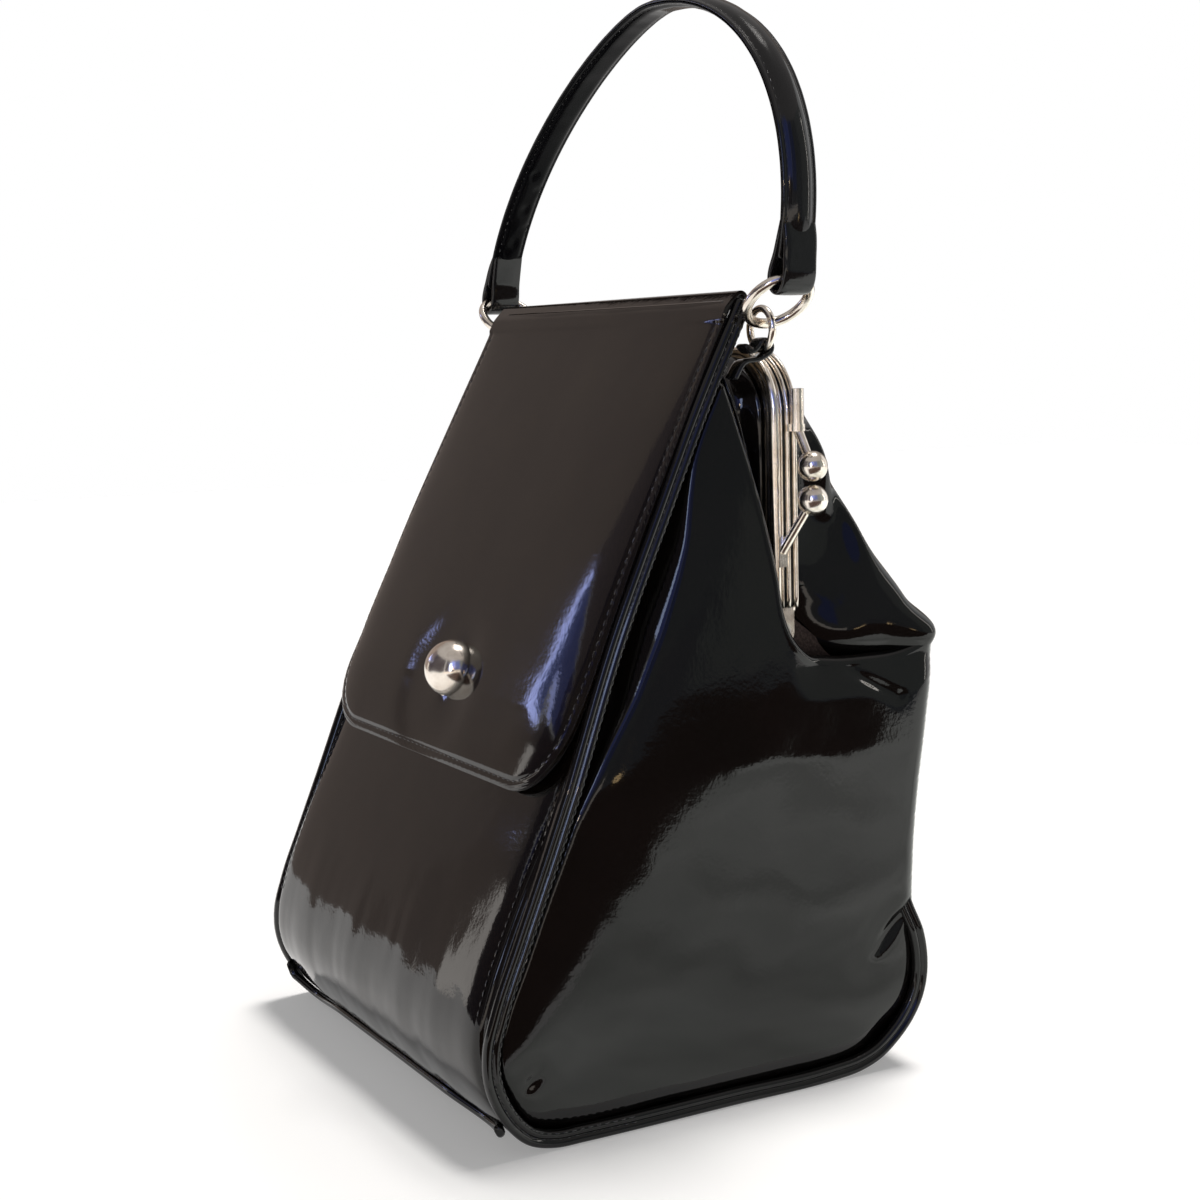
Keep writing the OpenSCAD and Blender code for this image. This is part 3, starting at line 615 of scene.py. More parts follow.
def flap_edge(x, s):
    """Distance of a place on the flap from its outline."""
    up = max(s - FLAP_LOW, 0)
    if up >= FLAP_R:
        return max(flap_half(s) - abs(x), 0)
    middle = FLAP_W/2 - FLAP_R
    if abs(x) < middle:
        return up
    return max(FLAP_R - math.hypot(abs(x) - middle, FLAP_R - up), 0)


def flap_relief(x, s):
    """How far the flap's face stands off its line: curled edges, stitch furrow and snap's dimple."""
    edge = flap_edge(x, s)
    if s > SLOPE - 8:
        return 0
    low, side = between(s, SLOPE, FLAP_LOW), between(s, FLAP_LOW + 34, FLAP_LOW + 4)
    curl = CURL + CURL_LOW*min(1.6*low, 1)*(1 - 0.6*side)
    out = -curl*math.exp(-edge/CURL_WIDE) - FURROW*bell(edge - STITCH_IN, 0.9)
    out -= PUCKER*bell(edge - PUCKER_IN, 1.2)*math.sin(2*math.pi*(s + 0.9*abs(x))/PUCKER_PITCH)
    dx, ds = x - SNAP_X, s - SNAP_S
    out -= DIMPLE/(1 + math.exp((math.hypot(dx + 7, ds + 5) - DIMPLE_R)/3))
    out -= (0.4 + 0.24*dx)*math.exp(-(dx*dx + ds*ds)/60)
    return out + 0.35*ripple((x, s, 0), 60, 7)*(1 - math.exp(-edge/12))


def flap_rows():
    """Places (s, n) down the middle of the flap's outer face, with the roll over the hinge line."""
    low = FLAP_R*(1 - np.cos(np.linspace(0, math.pi/2, 26)))
    up = np.linspace(FLAP_LOW + FLAP_R, SLOPE - HINGE_R, 170)[1:]
    places = np.concatenate([FLAP_LOW + low, up])
    line = smooth_line(FLAP_LINE, 400)
    rows = [(s, np.interp(s, line[:, 0], line[:, 1])) for s in places]
    turn = np.radians(np.linspace(78, -70, 14))
    return rows + [(HINGE_S + HINGE_R*math.cos(a), HINGE_N + HINGE_R*math.sin(a)) for a in turn]


def flap_grid(inset, drop):
    """The flap's face as a grid, inset from its outline and drop below its outer face."""
    rows = np.array(flap_rows())
    normals = line_normals(rows)
    grid = []
    for (s, n), (ns, nn) in zip(rows, normals):
        half = flap_half(min(max(s, FLAP_LOW), SLOPE)) - inset
        row = []
        for u in np.linspace(-1, 1, 121):
            x = half*math.sin(u*math.pi/2)
            out = -drop + flap_relief(x, s)
            row.append((x, *front_point(s + out*ns, n + out*nn)))
        grid.append(row)
    return np.array(grid)


def flap_face():
    """The flap's outer leather."""
    return thicken(grid_piece("flap_face", flap_grid(0, 0), PATENT_FLAP), FLAP_T)


def flap_back():
    """The flap's backing, a little smaller and under the leather."""
    grid = flap_grid(0.6, FLAP_T + 0.05)
    return thicken(grid_piece("flap_back", grid, BACKING), FLAP_BACK_T)


def front_leather():
    """The leather between the front panel and the front half of the frame."""
    panel = [(81, 24, 158), (82, 19.5, 185), (81, 14.5, 210), (79, 9.5, 229), (74, 7.5, 238),
             (40, 7.4, 239), (0, 7.4, 239)]
    valley = [(73, 23.3, 158), (72, 21, 185), (72, 18.5, 210), (72, 16, 226), (66, 15.5, 234),
              (36, 15.5, 236), (0, 15.5, 236)]
    bar = [(78.5, 23.2, 157), (79, 23.2, 185), (79, 23.2, 210), (77.5, 23.2, 226), (66, 23.2, 236.5),
           (36, 23.2, 237.5), (0, 23.2, 237.5)]
    grid = loft([both_sides(row) for row in (panel, valley, bar)], 120, 16)
    return thicken(grid_piece("front_leather", grid, PATENT_SIDE), 1.2)


# The folds where the back meets the sides, as (y, z)
EAR_ARCH = [(45.7, 142), (46.5, 150), (49.5, 158.5), (55.9, 163.5), (62.5, 163.5), (71.2, 159),
            (79.5, 152), (85, 146)]
EAR_INNER = [(50, 142), (54, 146.5), (59, 149.5), (66, 150.5), (73, 149)]
FOLD_HIGH, INNER_HIGH, UNDER_DEEP, OVER_DEEP = 2.0, 1.8, 5.5, 1.2


def back_leather():
    """The leather from the fold of the back up to the rear half of the frame, with its folded sides."""
    rows = [
        [(74, 36, 139), (79, 50, 136), (83, 68, 137), (86, 83, 139), (78, 85.5, 140),
         (40, 86, 140.5), (0, 86, 140.5)],
        [(76, 35.5, 150), (83, 47, 147), (86, 66, 143.5), (88, 85.5, 144.5), (79, 87.5, 146.5),
         (40, 87.5, 147.5), (0, 87, 147.5)],
        [(77, 35, 160), (82, 48, 158), (85.5, 62, 158), (85, 75, 158), (76, 77, 160), (40, 76, 161),
         (0, 75, 161)],
        [(78, 34.6, 180), (76.5, 45, 180), (77, 54, 180), (79, 61.5, 180), (70, 62.5, 182),
         (36, 60, 183), (0, 59, 183)],
        [(78.5, 34.3, 206), (77, 40, 207), (77.5, 44, 207), (78, 47.5, 207), (68, 47.5, 209),
         (34, 46.5, 210), (0, 46, 210)],
        [(79, 34.1, 222), (78, 36, 223), (78, 37, 224), (77, 38, 225), (66, 38.5, 229),
         (33, 38.5, 230), (0, 38.5, 230)],
        [(77, 34, 228), (76, 34.3, 230), (74, 34.5, 233), (70, 34.6, 236), (62, 34.8, 238.5),
         (31, 35, 239), (0, 35, 239)]]
    grid = loft([both_sides(row) for row in rows], 220, 110)
    arch, inner = (smooth_line(points, 200) for points in (EAR_ARCH, EAR_INNER))
    for point in grid.reshape(-1, 3):
        x, y, z = point
        if abs(x) < 70 or y < 40 or z > 185:
            continue
        near, far = distance_to(arch, y, z), distance_to(inner, y, z)
        under = np.interp(y, arch[:, 0], arch[:, 1]) > z and y > 46
        out = FOLD_HIGH*bell(near, 2.4) + INNER_HIGH*bell(far, 1.6)
        out -= UNDER_DEEP*(1 - bell(near, 4.5)) if under else OVER_DEEP*bell(near - 6, 3.5)
        point[0] += math.copysign(out, x)
    return thicken(grid_piece("back_leather", grid, PATENT_SIDE), 1.4)


# The snap: the way it faces, and its dome's profile as (radius, height)
OUTWARD = (0.32, -math.cos(LEAN), math.sin(LEAN))
DOME = [(0, 9.9), (2.8, 9.55), (5.5, 8.5), (7.7, 6.7), (9.1, 4.4), (9.65, 2.2), (9.5, 0.9), (8.9, 0.35),
        (8.8, 0.1), (9.6, 0), (10, -0.3), (10, -0.8), (9.6, -1.1), (6, -1.3), (0, -1.3)]


def snap_dome():
    """The dome of the snap on its thin base ring, a little askew on the leather."""
    y, z = front_point(SNAP_S + 1.2, FLAP_OUT - 0.9)
    profile = smooth_line(DOME, 70)
    profile[0][0] = profile[-1][0] = 0
    return lathe("snap_dome", profile, 72, (SNAP_X, y, z), OUTWARD, NICKEL)


# The handle between the joints of its rings
JOINT_AT = {joint["name"]: [c/MM for c in joint["pos_m"]] for joint in frame["joints"]}
LOOP_X, RING_Y, LOOP_Z = JOINT_AT["right_ring_turn"]
TAB_X, TAB_Y, TAB_H = JOINT_AT["right_link_swing"]
ARCH_TOP = HANDLE_H - STRAP_T/2
LOOP_R = 3.9


def arch_point(t):
    """The handle's centre line as (x, z): 0 is the left ring, 1 the top, 2 the right ring."""
    rise = ARCH_TOP - LOOP_Z
    left, right = APEX_X + LOOP_X, LOOP_X - APEX_X
    if t < 1:
        ends = [(-LOOP_X, LOOP_Z), (-LOOP_X + 0.12*left, LOOP_Z + 0.57*rise),
                (APEX_X - 0.22*left, ARCH_TOP), (APEX_X, ARCH_TOP)]
    else:
        ends = [(APEX_X, ARCH_TOP), (APEX_X + 0.75*right, ARCH_TOP),
                (LOOP_X + 0.25*right, LOOP_Z + 0.58*rise), (LOOP_X, LOOP_Z)]
        t -= 1
    shares = [(1 - t)**3, 3*(1 - t)**2*t, 3*(1 - t)*t**2, t**3]
    return np.array([sum(share*end[k] for share, end in zip(shares, ends)) for k in (0, 1)])


def arch_frame(t):
    """Place, direction and outward normal of the handle's centre line."""
    step = 0.004
    d = arch_point(min(t + step, 2)) - arch_point(max(t - step, 0))
    d /= np.linalg.norm(d)
    return arch_point(t), d, np.array([-d[1], d[0]])


def strap_section(outer, inner):
    """The sections of the strap's two strips as (across, out): a domed one and a flatter one."""
    half = STRAP_W/2 + 0.5
    top = [(-half, 0.55), (-half + 0.35, 0.95), (-half + 0.9, 1.05), (-half + 1.35, 0.85),
           (-half + 1.9, 1.1), (-half + 3.2, outer*0.86), (0, outer)]
    top += [(-a, b) for a, b in reversed(top[:-1])]
    base = [(half, 0.1), (half - 0.5, -0.1), (0, -0.1), (0.5 - half, -0.1), (-half, 0.1)]
    low = [(half, 0.05), (half, -0.4), (half - 0.3, -0.8), (half - 0.8, -1.0), (half - 1.6, -0.85),
           (half - 2.6, -inner*0.95), (2.4, -inner), (1.2, -inner), (0, -inner)]
    low += [(-a, b) for a, b in reversed(low[:-1])]
    return top + base, low


# Dents in the inside of the strap near its left end, as (across, share of the arch)
STRAP_DENTS = [(3.2, 0.1), (-2.4, 0.13), (0.4, 0.15), (3.4, 0.19), (-3.0, 0.2), (0.8, 0.24),
               (3.0, 0.29), (-1.6, 0.33)]
DENT_DEEP, DENT_WIDE, DENT_LONG = 0.55, 1.5, 0.012


def pricks(across, t):
    """How far the inside of the strap is pressed in by its dents."""
    return sum(DENT_DEEP*bell(across - a, DENT_WIDE)*bell(t - at, DENT_LONG) for a, at in STRAP_DENTS)


def handle_strap(layer, name, material):
    """One of the strap's two strips: layer 0 is the domed outside, 1 the flat inside."""
    grid = []
    for t in np.linspace(0.035, 1.965, 150 if layer == 0 else 420):
        (x, z), d, n = arch_frame(t)
        ends = min(t, 2 - t)
        fill = 1 - 0.35*math.exp(-ends/0.05)
        wave = 0.12*math.sin(t*95) + 0.1*ripple((x, 0, z), 9)
        section = strap_section((STRAP_T/2 + 0.5)*fill, 1.9*fill)[layer]
        row = []
        for across, out in section:
            if layer and out < -1.2:
                out += pricks(across, t)
            row.append((x + out*n[0], RING_Y + across*(1 + 0.012*wave), z + (out + 0.15*wave)*n[1]))
        grid.append(row)
    return rounded(grid_piece(name, np.array(grid), material, ring=True, caps=True))


def strap_loop(side):
    """The strap's end, turned round the ring and sewn back on the inside."""
    start = 0 if side < 0 else 2
    centre, d, n = arch_frame(start)
    outside, inside = ([arch_frame(start - side*t)[0] + out*n for t, out in legs]
                       for legs in (((0.11, 0.6), (0.085, 1.9), (0.05, 2.9)),
                                    ((0.05, -2.7), (0.085, -1.7), (0.115, -0.6))))
    bend = [centre + LOOP_R*(math.cos(a)*n + side*math.sin(a)*d)
            for a in np.radians(np.linspace(15, 165, 9))]
    line = smooth_line(outside + bend + inside, 64)
    half = STRAP_W/2 + 0.15
    section = [(-half, -0.5), (-half + 0.3, -0.85), (-half + 1, -0.95), (0, -1.0), (half - 1, -0.95),
               (half - 0.3, -0.85), (half, -0.5), (half, 0.4), (half - 0.4, 0.75), (half - 1.2, 0.85),
               (0, 0.95), (-half + 1.2, 0.85), (-half + 0.4, 0.75), (-half, 0.4)]

    def lift(across, x, z):
        return x, RING_Y + across, z

    return rounded(swept("strap_loop", line, line_normals(line), section, lift, PATENT_STRAP))


# Stitches: pitch, length and half thickness
STRAP_STITCH, FLAP_STITCH = (3.1, 2.2, 0.26), (3.4, 2.3, 0.34)
RIM_STITCH, POCKET_STITCH = (2.9, 1.9, 0.28), (3.1, 2.1, 0.24)


def stitch_row(places, ups, length, wide, name):
    """A row of stitches: small rounded threads that dip into the leather at both ends."""
    around, rings = 6, 5
    verts, faces = [], []
    for (a, b), up in zip(places, ups):
        a, b, up = Vector(a), Vector(b), Vector(up)
        run = (b - a).normalized()
        side = run.cross(up).normalized()
        middle = (a + b)/2
        first = len(verts)
        for r in range(rings):
            s = -1 + 2*r/(rings - 1)
            fat = wide*math.sqrt(max(1 - 0.9*s*s, 0.05))
            for k in range(around):
                w = 2*math.pi*k/around
                lift = fat*0.8*math.sin(w) - 0.35*wide*s*s
                verts.append(middle + run*(s*length/2) + side*(fat*math.cos(w)) + up*lift)
        for r in range(rings - 1):
            for k in range(around):
                k2 = (k + 1) % around
                base = first + r*around
                faces.append((base + k, base + k2, base + around + k2, base + around + k))
        faces.append(tuple(range(first, first + around)))
        faces.append(tuple(range(first + (rings - 1)*around, first + rings*around)))
    return join_doubles(piece(name, verts, faces, THREAD))


def stitches_along(line, ups, pitch, length, wide, name):
    """Stitches at an even pitch along a line of points in space."""
    line, ups = np.array(line, float), np.array(ups, float)
    along = np.concatenate([[0], np.cumsum(np.linalg.norm(np.diff(line, axis=0), axis=1))])
    places, tops = [], []
    for start in np.arange(pitch/2, along[-1] - pitch/2, pitch):
        places.append([[np.interp(start + d, along, line[:, k]) for k in range(3)]
                       for d in (-length/2, length/2)])
        tops.append(Vector([np.interp(start, along, ups[:, k]) for k in range(3)]).normalized())
    return stitch_row(places, tops, length, wide, name)


def handle_stitches():
    """Two rows on the outside of the strap and two on the inside."""
    made = []
    for face, out in ((1, 0.98), (-1, 0.95)):
        for edge in (-1, 1):
            line, ups = [], []
            for t in np.linspace(0.03, 1.97, 300):
                (x, z), d, n = arch_frame(t)
                across = edge*(STRAP_W/2 - 1.35)
                line.append((x + face*out*n[0], RING_Y + across, z + face*out*n[1]))
                ups.append((face*n[0], 0, face*n[1]))
            made.append(stitches_along(line, ups, *STRAP_STITCH, "handle_stitches"))
    return joined(made)


def flap_stitches():
    """The single row of stitches round the flap."""
    corner_x, corner_s, turn_r = FLAP_W/2 - FLAP_R, FLAP_LOW + FLAP_R, FLAP_R - STITCH_IN
    half = [(flap_half(s) - STITCH_IN, s) for s in np.linspace(SLOPE - 9, corner_s, 60)]
    half += [(corner_x + turn_r*math.cos(a), corner_s - turn_r*math.sin(a))
             for a in np.linspace(0, math.pi/2, 24)[1:]]
    half += [(x, FLAP_LOW + STITCH_IN) for x in np.linspace(corner_x, 0, 20)[1:]]
    line = smooth_line(FLAP_LINE, 400)
    points = []
    for x, s in half + [(-x, s) for x, s in reversed(half[:-1])]:
        out = np.interp(s, line[:, 0], line[:, 1]) + flap_relief(x, s) - 0.02
        points.append((x, *front_point(s, out)))
    ups = [(0, -math.cos(LEAN), math.sin(LEAN))]*len(points)
    return stitches_along(points, ups, *FLAP_STITCH, "flap_stitches")


def rim_stitches():
    """Two rows of stitches in the side of each rim, and one beside each edge of the pocket."""
    made = []
    line = smooth_line(RIM_LINE, 260)
    normals = -line_normals(line)
    for side in (-1, 1):
        for out, deep in ((-2.9, 3.75), (-5.0, 4.4)):
            points = [(side*(half_width(z) - RIM_OUT + deep), y + out*a, z + out*b)
                      for (y, z), (a, b) in zip(line[2:150], normals[2:150])]
            ups = [(side, 0, 0)]*len(points)
            made.append(stitches_along(points, ups, *RIM_STITCH, "rim_stitches"))
        edge = smooth_line(POCKET_LINE, 80)[26:62]
        ends = -line_normals(edge)
        points = [(side*(half_width(z) - POCKET_IN - 2.6), y - 0.62*a, z - 0.62*b)
                  for (y, z), (a, b) in zip(edge, ends)]
        ups = [(0, a, b) for a, b in ends]
        made.append(stitches_along(points, ups, *POCKET_STITCH, "rim_stitches"))
    return joined(made)


def frame_beads(rows, name, material):
    """Rolled ridges along a half of the frame: rows of (y, half width, height)."""
    r = FRAME_R
    bend = [(FRAME_W/2 - r + r*math.cos(a), FRAME_H - r + r*math.sin(a))
            for a in np.linspace(0, math.pi/2, 16)]
    half = [(FRAME_W/2, z) for z in np.linspace(HINGE_H + 8, FRAME_H - r, 20)[:-1]] + bend
    line = np.array(half + [(-x, z) for x, z in reversed(half)])

    def lift(y, x, z):
        return x, y, z

    made = []
    for middle, wide, high in rows:
        ridge = [(middle + wide*math.sin(a), high*math.cos(a))
                 for a in np.linspace(-math.pi/2, math.pi/2, 9)]
        section = [(middle - wide, -0.5)] + ridge + [(middle + wide, -0.5)]
        made.append(swept(name, line, -line_normals(line), section, lift, material))
    return joined(made)


def ring_tab(side):
    """The leather tab behind the panel's corner, looped through the link ring."""
    r, half = 2.35, 3.1
    panel_y, panel_z = front_point(SLOPE - 20, -7)
    path = [(panel_y - 1.2, panel_z - 3), (panel_y + 2.5, panel_z + 2), (TAB_Y - 2.2, TAB_H - 3.6)]
    path += [(TAB_Y + r*math.cos(a), TAB_H + r*math.sin(a))
             for a in np.radians(np.linspace(-70, 160, 10))]
    path += [(TAB_Y - 5, TAB_H - 1.2), front_point(SLOPE - 12, -6.4)]
    line = smooth_line(path, 60)
    section = [(-half, -0.5), (-half + 0.4, -0.85), (half - 0.4, -0.85), (half, -0.5), (half, 0.5),
               (half - 0.4, 0.85), (-half + 0.4, 0.85), (-half, 0.5)]

    def lift(across, y, z):
        return side*TAB_X + across, y, z

    return rounded(swept("ring_tab", line, line_normals(line), section, lift, PATENT_STRAP))


def lining_bag():
    """The cloth lining, a loose bag inside the boards, open under the frame."""
    rings, around, base_z = 40, 96, 5.2
    back_z, front_z = BACK_H - 12, FRAME_H - 28
    grid = []
    for r in range(rings):
        up = r/(rings - 1)
        row = []
        for k in range(around):
            a = 2*math.pi*k/around
            box_x, box_y = (math.copysign(abs(v)**0.35, v) for v in (math.cos(a), math.sin(a)))
            top = back_z + (front_z - back_z)*((1 - box_y)/2)**1.5
            z = base_z + (top - base_z)*up
            front_y = -BASE_D/2 + 6.5
            if z > KNEE_H:
                front_y = front_point((z - KNEE_H)/math.cos(LEAN), -5.6)[0]
            back_y = min(BASE_D/2 - 5, 76 + 0.02*z)
            low = 1 - 0.12*math.exp(-up*rings/1.5)
            y = (front_y + back_y)/2 + box_y*(back_y - front_y)/2*low
            x = box_x*(half_width(z) - RIM_OUT - GUSSET_T - 2.2)*low
            fold = 1.0*ripple((x, y, z), 30, 5) + 0.5*math.sin(a*14 + 3*up)
            row.append((x - box_x*(1 + fold)*0.8, y - box_y*(1 + fold)*0.6, z))
        grid.append(row)
    return grid_piece("lining_bag", np.array(grid), LINING, ring=True)


def camera():
    """The camera where the photograph was taken from."""
    a, e, r = (math.radians(v) for v in (CAMERA_YAW, CAMERA_PITCH, CAMERA_ROLL))
    look = Vector((-math.sin(a)*math.cos(e), math.cos(a)*math.cos(e), math.sin(e)))
    level = Vector((math.cos(a), math.sin(a), 0))
    upright = level.cross(look)
    right = math.cos(r)*level + math.sin(r)*upright
    up = -math.sin(r)*level + math.cos(r)*upright
    data = bpy.data.cameras.new("photo_camera")
    data.sensor_width = SENSOR
    data.lens = FOCAL
    obj = add_object("photo_camera", data)
    turn = Matrix((right, up, -look)).transposed().to_4x4()
    obj.matrix_world = Matrix.Translation(Vector(CAMERA_PLACE)*MM) @ turn
    bpy.context.scene.camera = obj


def seen_white(tree):
    """One for rays that the camera, mirrors and glass send out, and nought for the light itself."""
    path = tree.nodes.new("ShaderNodeLightPath")
    seen = math_node(tree, "MAXIMUM", path.outputs["Is Camera Ray"], path.outputs["Is Glossy Ray"])
    return math_node(tree, "MAXIMUM", seen, path.outputs["Is Transmission Ray"])


FLOOR_GLOW, FLOOR_GLOW_SHARE, FLOOR_HALF = 1.95, 0.14, 3000
# Strength of the white world: as light on the bag, and what is added where it is seen
SKY_LIGHT, SKY_SEEN = 0.16, 0.84


def floor():
    """The white table, a little brighter to the camera so that it meets the background."""
    material, tree, shader = new_material("white_floor")
    shader.inputs["Base Color"].default_value = (0.9, 0.9, 0.9, 1)
    shader.inputs["Roughness"].default_value = 0.9
    glow = tree.nodes.new("ShaderNodeEmission")
    mix = tree.nodes.new("ShaderNodeMixShader")
    glow.inputs["Strength"].default_value = FLOOR_GLOW
    share = math_node(tree, "MULTIPLY", seen_white(tree), FLOOR_GLOW_SHARE)
    tree.links.new(share, mix.inputs["Fac"])
    tree.links.new(shader.outputs[0], mix.inputs[1])
    tree.links.new(glow.outputs[0], mix.inputs[2])
    tree.links.new(mix.outputs[0], tree.nodes["Material Output"].inputs["Surface"])
    corners = [(FLOOR_HALF*a, FLOOR_HALF*b, 0) for a, b in ((-1, -1), (1, -1), (1, 1), (-1, 1))]
    piece("floor", corners, [(0, 1, 2, 3)], material)


def lamp(name, kind, at, aim, power, colour):
    """A lamp of a kind at a place in metres, aimed at a point."""
    light = bpy.data.lights.new(name, kind)
    light.energy = power
    light.color = colour
    look = (Vector(aim) - Vector(at)).to_track_quat("-Z", "Y")
    add_object(name, light).matrix_world = Matrix.Translation(at) @ look.to_matrix().to_4x4()
    return light


def lamps():
    """The ceiling light of the room, high behind the bag, and a small warm lamp beside the camera."""
    ceiling = lamp("key_light", "SUN", (-0.1, 0.29, 0.95), (0, 0, 0), 2.85, (1.0, 0.97, 0.94))
    ceiling.angle = math.radians(18)
    warm = lamp("warm_lamp", "AREA", (1.0, -0.72, 0.42), (0, 0, 0.13), 0.5, (1.0, 0.75, 0.45))
    warm.shape = "RECTANGLE"
    warm.size = warm.size_y = 0.04


def card(name, corners, colour, strength=1.0, other=None):
    """A card that only mirrors see, with corners in metres; another colour makes it cloudy."""
    material, tree, _ = new_material(name)
    glow = tree.nodes.new("ShaderNodeEmission")
    glow.inputs["Color"].default_value = (*colour, 1)
    glow.inputs["Strength"].default_value = strength
    if other:
        clouds = noise_node(tree, 9, 3, 0.5)
        parts = tree.nodes.new("ShaderNodeSeparateXYZ")
        tree.links.new(clouds.inputs["Vector"].links[0].from_socket, parts.inputs[0])
        mix = math_node(tree, "MULTIPLY_ADD", parts.outputs["Y"], 0.9, clouds.outputs["Fac"])
        tree.links.new(ramp_node(tree, mix, [(0.36, colour), (0.86, other)]), glow.inputs["Color"])
    tree.links.new(glow.outputs[0], tree.nodes["Material Output"].inputs["Surface"])
    corners = [tuple(c/MM for c in corner) for corner in corners]
    obj = piece(name, corners, [tuple(range(len(corners)))], material)
    obj.visible_camera = obj.visible_diffuse = obj.visible_shadow = False
    obj.visible_transmission = False


ROOM_R, ROOM_H = 2.3, 2.2
WINDOW, SKY, DUSK = (0.45, 0.52, 1.0), (0.3, 0.38, 1.0), (0.08, 0.07, 0.08)
PALE_WALL = (0.3, 0.32, 0.31)
# Cards by their two azimuths in degrees from the front, lower and upper edges, colours and strengths
CARDS = [
    (-160, -118, 0, ROOM_H, (0.25, 0.22, 0.2), 1), (-114, -61, 0, ROOM_H, (0.35, 0.29, 0.26), 1),
    (-61, -59.9, 0.66, 1.05, WINDOW, 9), (-59.9, -57, 0.66, 0.72, WINDOW, 7),
    (-59.9, -57, 0.72, 1.05, SKY, 0.8), (-57, -51, 0.8, 0.85, WINDOW, 4),
    (-57, -46, 0.85, 1.05, SKY, 0.65), (-46, -38, 0.85, 1.05, (0.2, 0.24, 0.7), 0.35),
    (-61, -38, 1.05, ROOM_H, (0.2, 0.17, 0.18), 1), (-61, -56, 0, 0.66, (0.3, 0.245, 0.22), 1),
    (-56, -52.5, 0, 0.56, (0.9, 0.85, 0.8), 2.0), (-56, -52.5, 0.56, 0.78, (0.2, 0.17, 0.16), 1),
    (-52.5, -30, 0, 0.8, (0.07, 0.06, 0.07), 1), (-38, -30, 0.8, ROOM_H, (0.06, 0.06, 0.09), 1),
    (-30, 20, 0.14, ROOM_H, (0.1, 0.09, 0.1), 1), (23, 43, 0.14, ROOM_H, DUSK, 1),
    (43, 50, 0.3, 1.4, (0.55, 0.66, 1.0), 6), (50, 66, 0.6, ROOM_H, (0.25, 0.33, 1.0), 1.0),
    (50, 66, 0.14, 0.6, DUSK, 1), (67, 92, 0.4, ROOM_H, (0.2, 0.25, 0.6), 0.7),
    (67, 92, 0.14, 0.4, (0.2, 0.2, 0.21), 1), (20, 100, 0, 0.14, (1.0, 0.9, 0.8), 1.5),
    (100, 119, 0, 0.14, (0.17, 0.18, 0.2), 1), (92, 119, 0.14, ROOM_H, (0.2, 0.215, 0.225), 1),
    (119, 149, 0, ROOM_H, PALE_WALL, 1), (149, 151.5, 0.05, 1.6, (1.0, 0.95, 0.88), 7),
    (151.5, 160, 0, ROOM_H, PALE_WALL, 1)]
# The table's pale top and the dark rooms beyond its edge, as corners (x, y) in metres
TABLE_TOP = [(0.105, -0.12), (1.1, 0.74), (0.9, 1.4), (-0.4, 1.3), (-0.2, 0.14), (0.1, 0.12)]
TABLE_EDGE = [(0.14, -0.1), (0.224, -0.03), (0.3, 0.045), (0.36, 0.125), (0.394, 0.15), (0.47, 0.25),
              (0.55, 0.31), (0.62, 0.41), (0.688, 0.46), (0.85, 0.62), (1.05, 0.78), (1.4, 1.05),
              (1.75, 0.9), (1.7, -0.7), (0.4, -0.7)]
TABLE_FAR = [(1.05, 0.78), (1.6, 1.5), (2.2, 1.0), (2.3, -0.8), (1.0, -0.8)]
GOLD_LIGHT = [(1.664, 0.466), (2.046, 0.586), (2.01, 0.688), (1.636, 0.548)]
CEILING = [(-2.2, -2.2), (2.2, -2.2), (2.2, 2.2), (-2.2, 2.2)]


def room():
    """Cards round the set, with gaps that the white of the studio shows through."""
    for first, last, low, high, tone, strength in CARDS:
        (ax, ay), (bx, by) = ((ROOM_R*math.sin(a), -ROOM_R*math.cos(a))
                              for a in (math.radians(first), math.radians(last)))
        corners = [(ax, ay, low), (bx, by, low), (bx, by, high), (ax, ay, high)]
        card("studio_card", corners, tone, strength)
    for name, corners, height, *light in (
            ("studio_ceiling", CEILING, 1.9, (0.42, 0.4, 0.39)),
            ("studio_table_edge", TABLE_EDGE, 0.003, (0.09, 0.06, 0.05)),
            ("studio_table_far", TABLE_FAR, 0.002, (0.2, 0.22, 0.25)),
            ("studio_gold", GOLD_LIGHT, 0.004, (1.0, 0.7, 0.35), 7),
            ("studio_table_top", TABLE_TOP, 0.001, (0.62, 0.64, 0.6), 1, (1.4, 1.42, 1.36))):
        card(name, [(x, y, height) for x, y in corners], *light)


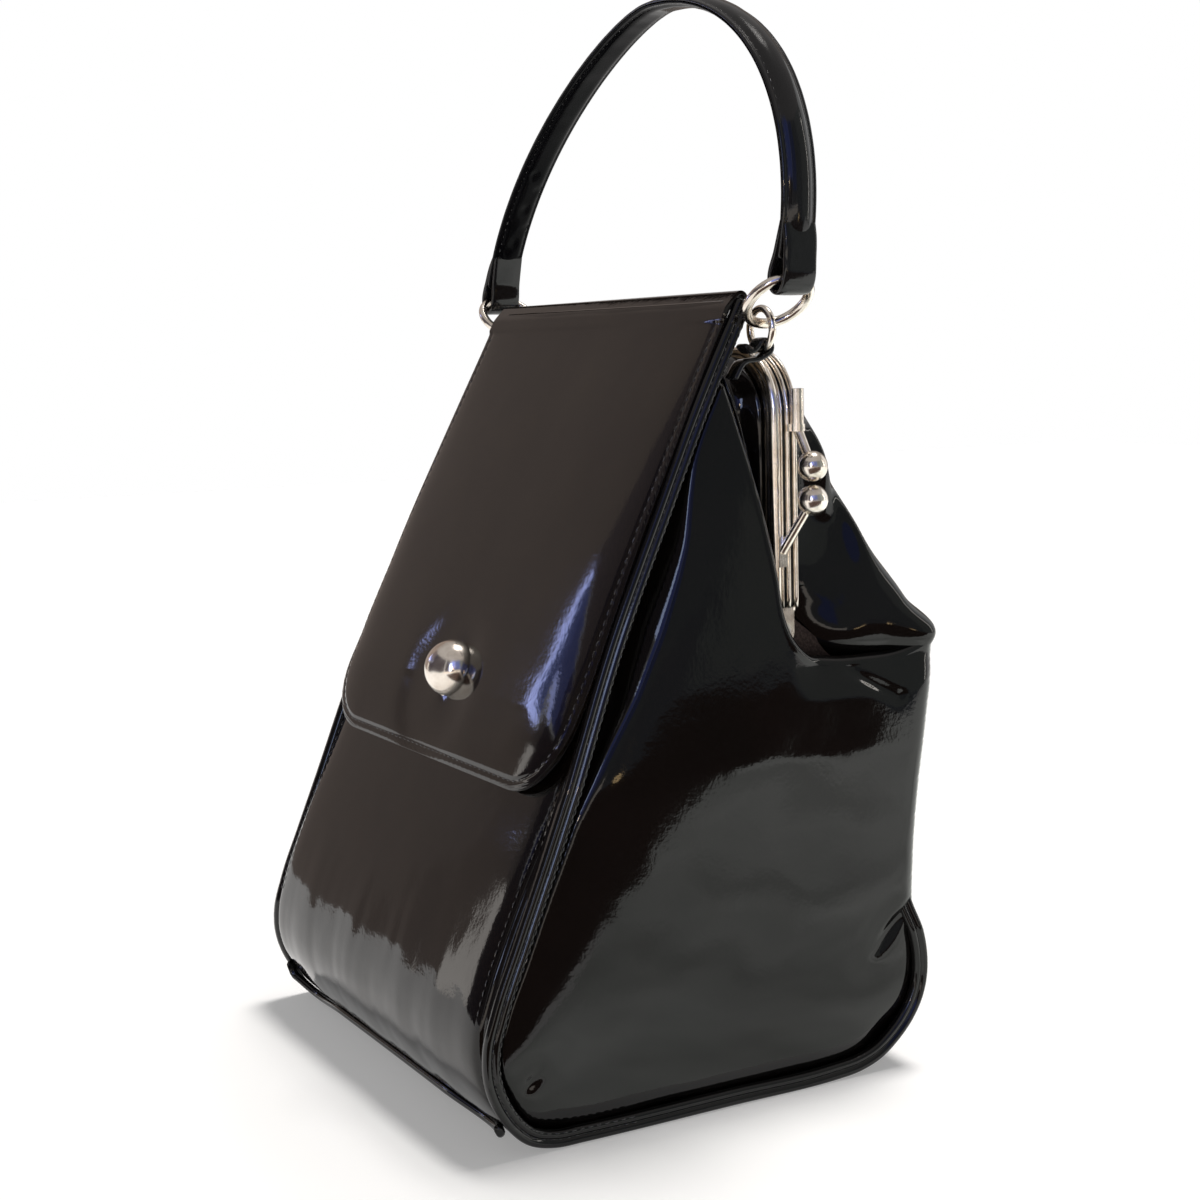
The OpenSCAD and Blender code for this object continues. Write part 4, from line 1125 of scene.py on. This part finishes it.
def world():
    """A white room: dim where it lights the bag, full where the camera and mirrors see it."""
    scene_world = bpy.data.worlds.new("studio")
    bpy.context.scene.world = scene_world
    scene_world.use_nodes = True
    tree = scene_world.node_tree
    ground = tree.nodes["Background"]
    ground.inputs["Color"].default_value = (1, 1, 1, 1)
    strength = math_node(tree, "MULTIPLY_ADD", seen_white(tree), SKY_SEEN, SKY_LIGHT)
    tree.links.new(strength, ground.inputs["Strength"])


bpy.context.scene.view_settings.view_transform = "Standard"
camera()
floor()
world()
room()
lamps()

place(leather_wrap(), "bag", "patent", "outer_wrap")
place(pocket(), "bag", "patent", "pocket_front", "pocket_strip")
place(pocket_piping(), "bag", "patent")
place(flap_face(), "flap", "patent", "flap_face")
place(flap_back(), "flap", "backing", "flap_backing")
place(front_leather(), "bag", "patent", "front_yoke")
place(snap_dome(), "flap", "nickel", "snap_cap")
place(handle_strap(0, "handle_strap", PATENT_STRAP), "handle", "patent", "handle_strap")
# The inner strip wears the shaded copy of the strap's patent, painted shade on the inside of the handle
place(handle_strap(1, "handle_inside", PATENT_INSIDE_SHADED), "handle", "patent")
place(handle_stitches(), "handle", "patent")
place(lining_bag(), "bag", "lining", "lining")
for side_name, sign in SIDES.items():
    place(gusset(sign), "bag", "patent", f"{side_name}_gusset").name = f"{side_name}_side_gusset"
    place(rim(sign), "bag", "rim", f"{side_name}_rim").name = f"{side_name}_rim_seam"
    place(ring_tab(sign), "bag", "patent", f"{side_name}_tab").name = f"{side_name}_ring_tab"
    place(strap_loop(sign), "handle", "patent").name = f"{side_name}_strap_loop"
place(flap_stitches(), "flap", "patent")
place(rim_stitches(), "bag", "patent")
for body_name, part, slot_name, finish, *rows in (
        ("bag", "front_frame_bead", "nickel", NICKEL, (25.3, 1.8, 1.9), (27.7, 0.4, 0.9)),
        ("rear_half", "rear_frame_bead", "nickel", NICKEL, (29.8, 0.85, 1.5), (32.6, 0.95, 1.6)),
        # The black strips are dark patina between the frame's ridges, and painted shade in the gap where
        # its two halves meet
        ("bag", "front_frame_groove", "patent", RIM_LEATHER, (26.95, 0.42, 0.3), (28.3, 0.3, 0.4)),
        ("rear_half", "rear_frame_groove", "patent", RIM_LEATHER, (28.85, 0.25, 0.4), (31.2, 0.6, 0.3))):
    place(frame_beads(rows, part, finish), body_name, slot_name)
rear = back_leather()
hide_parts("rear_yoke", "right_web", "left_web")
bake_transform(rear)
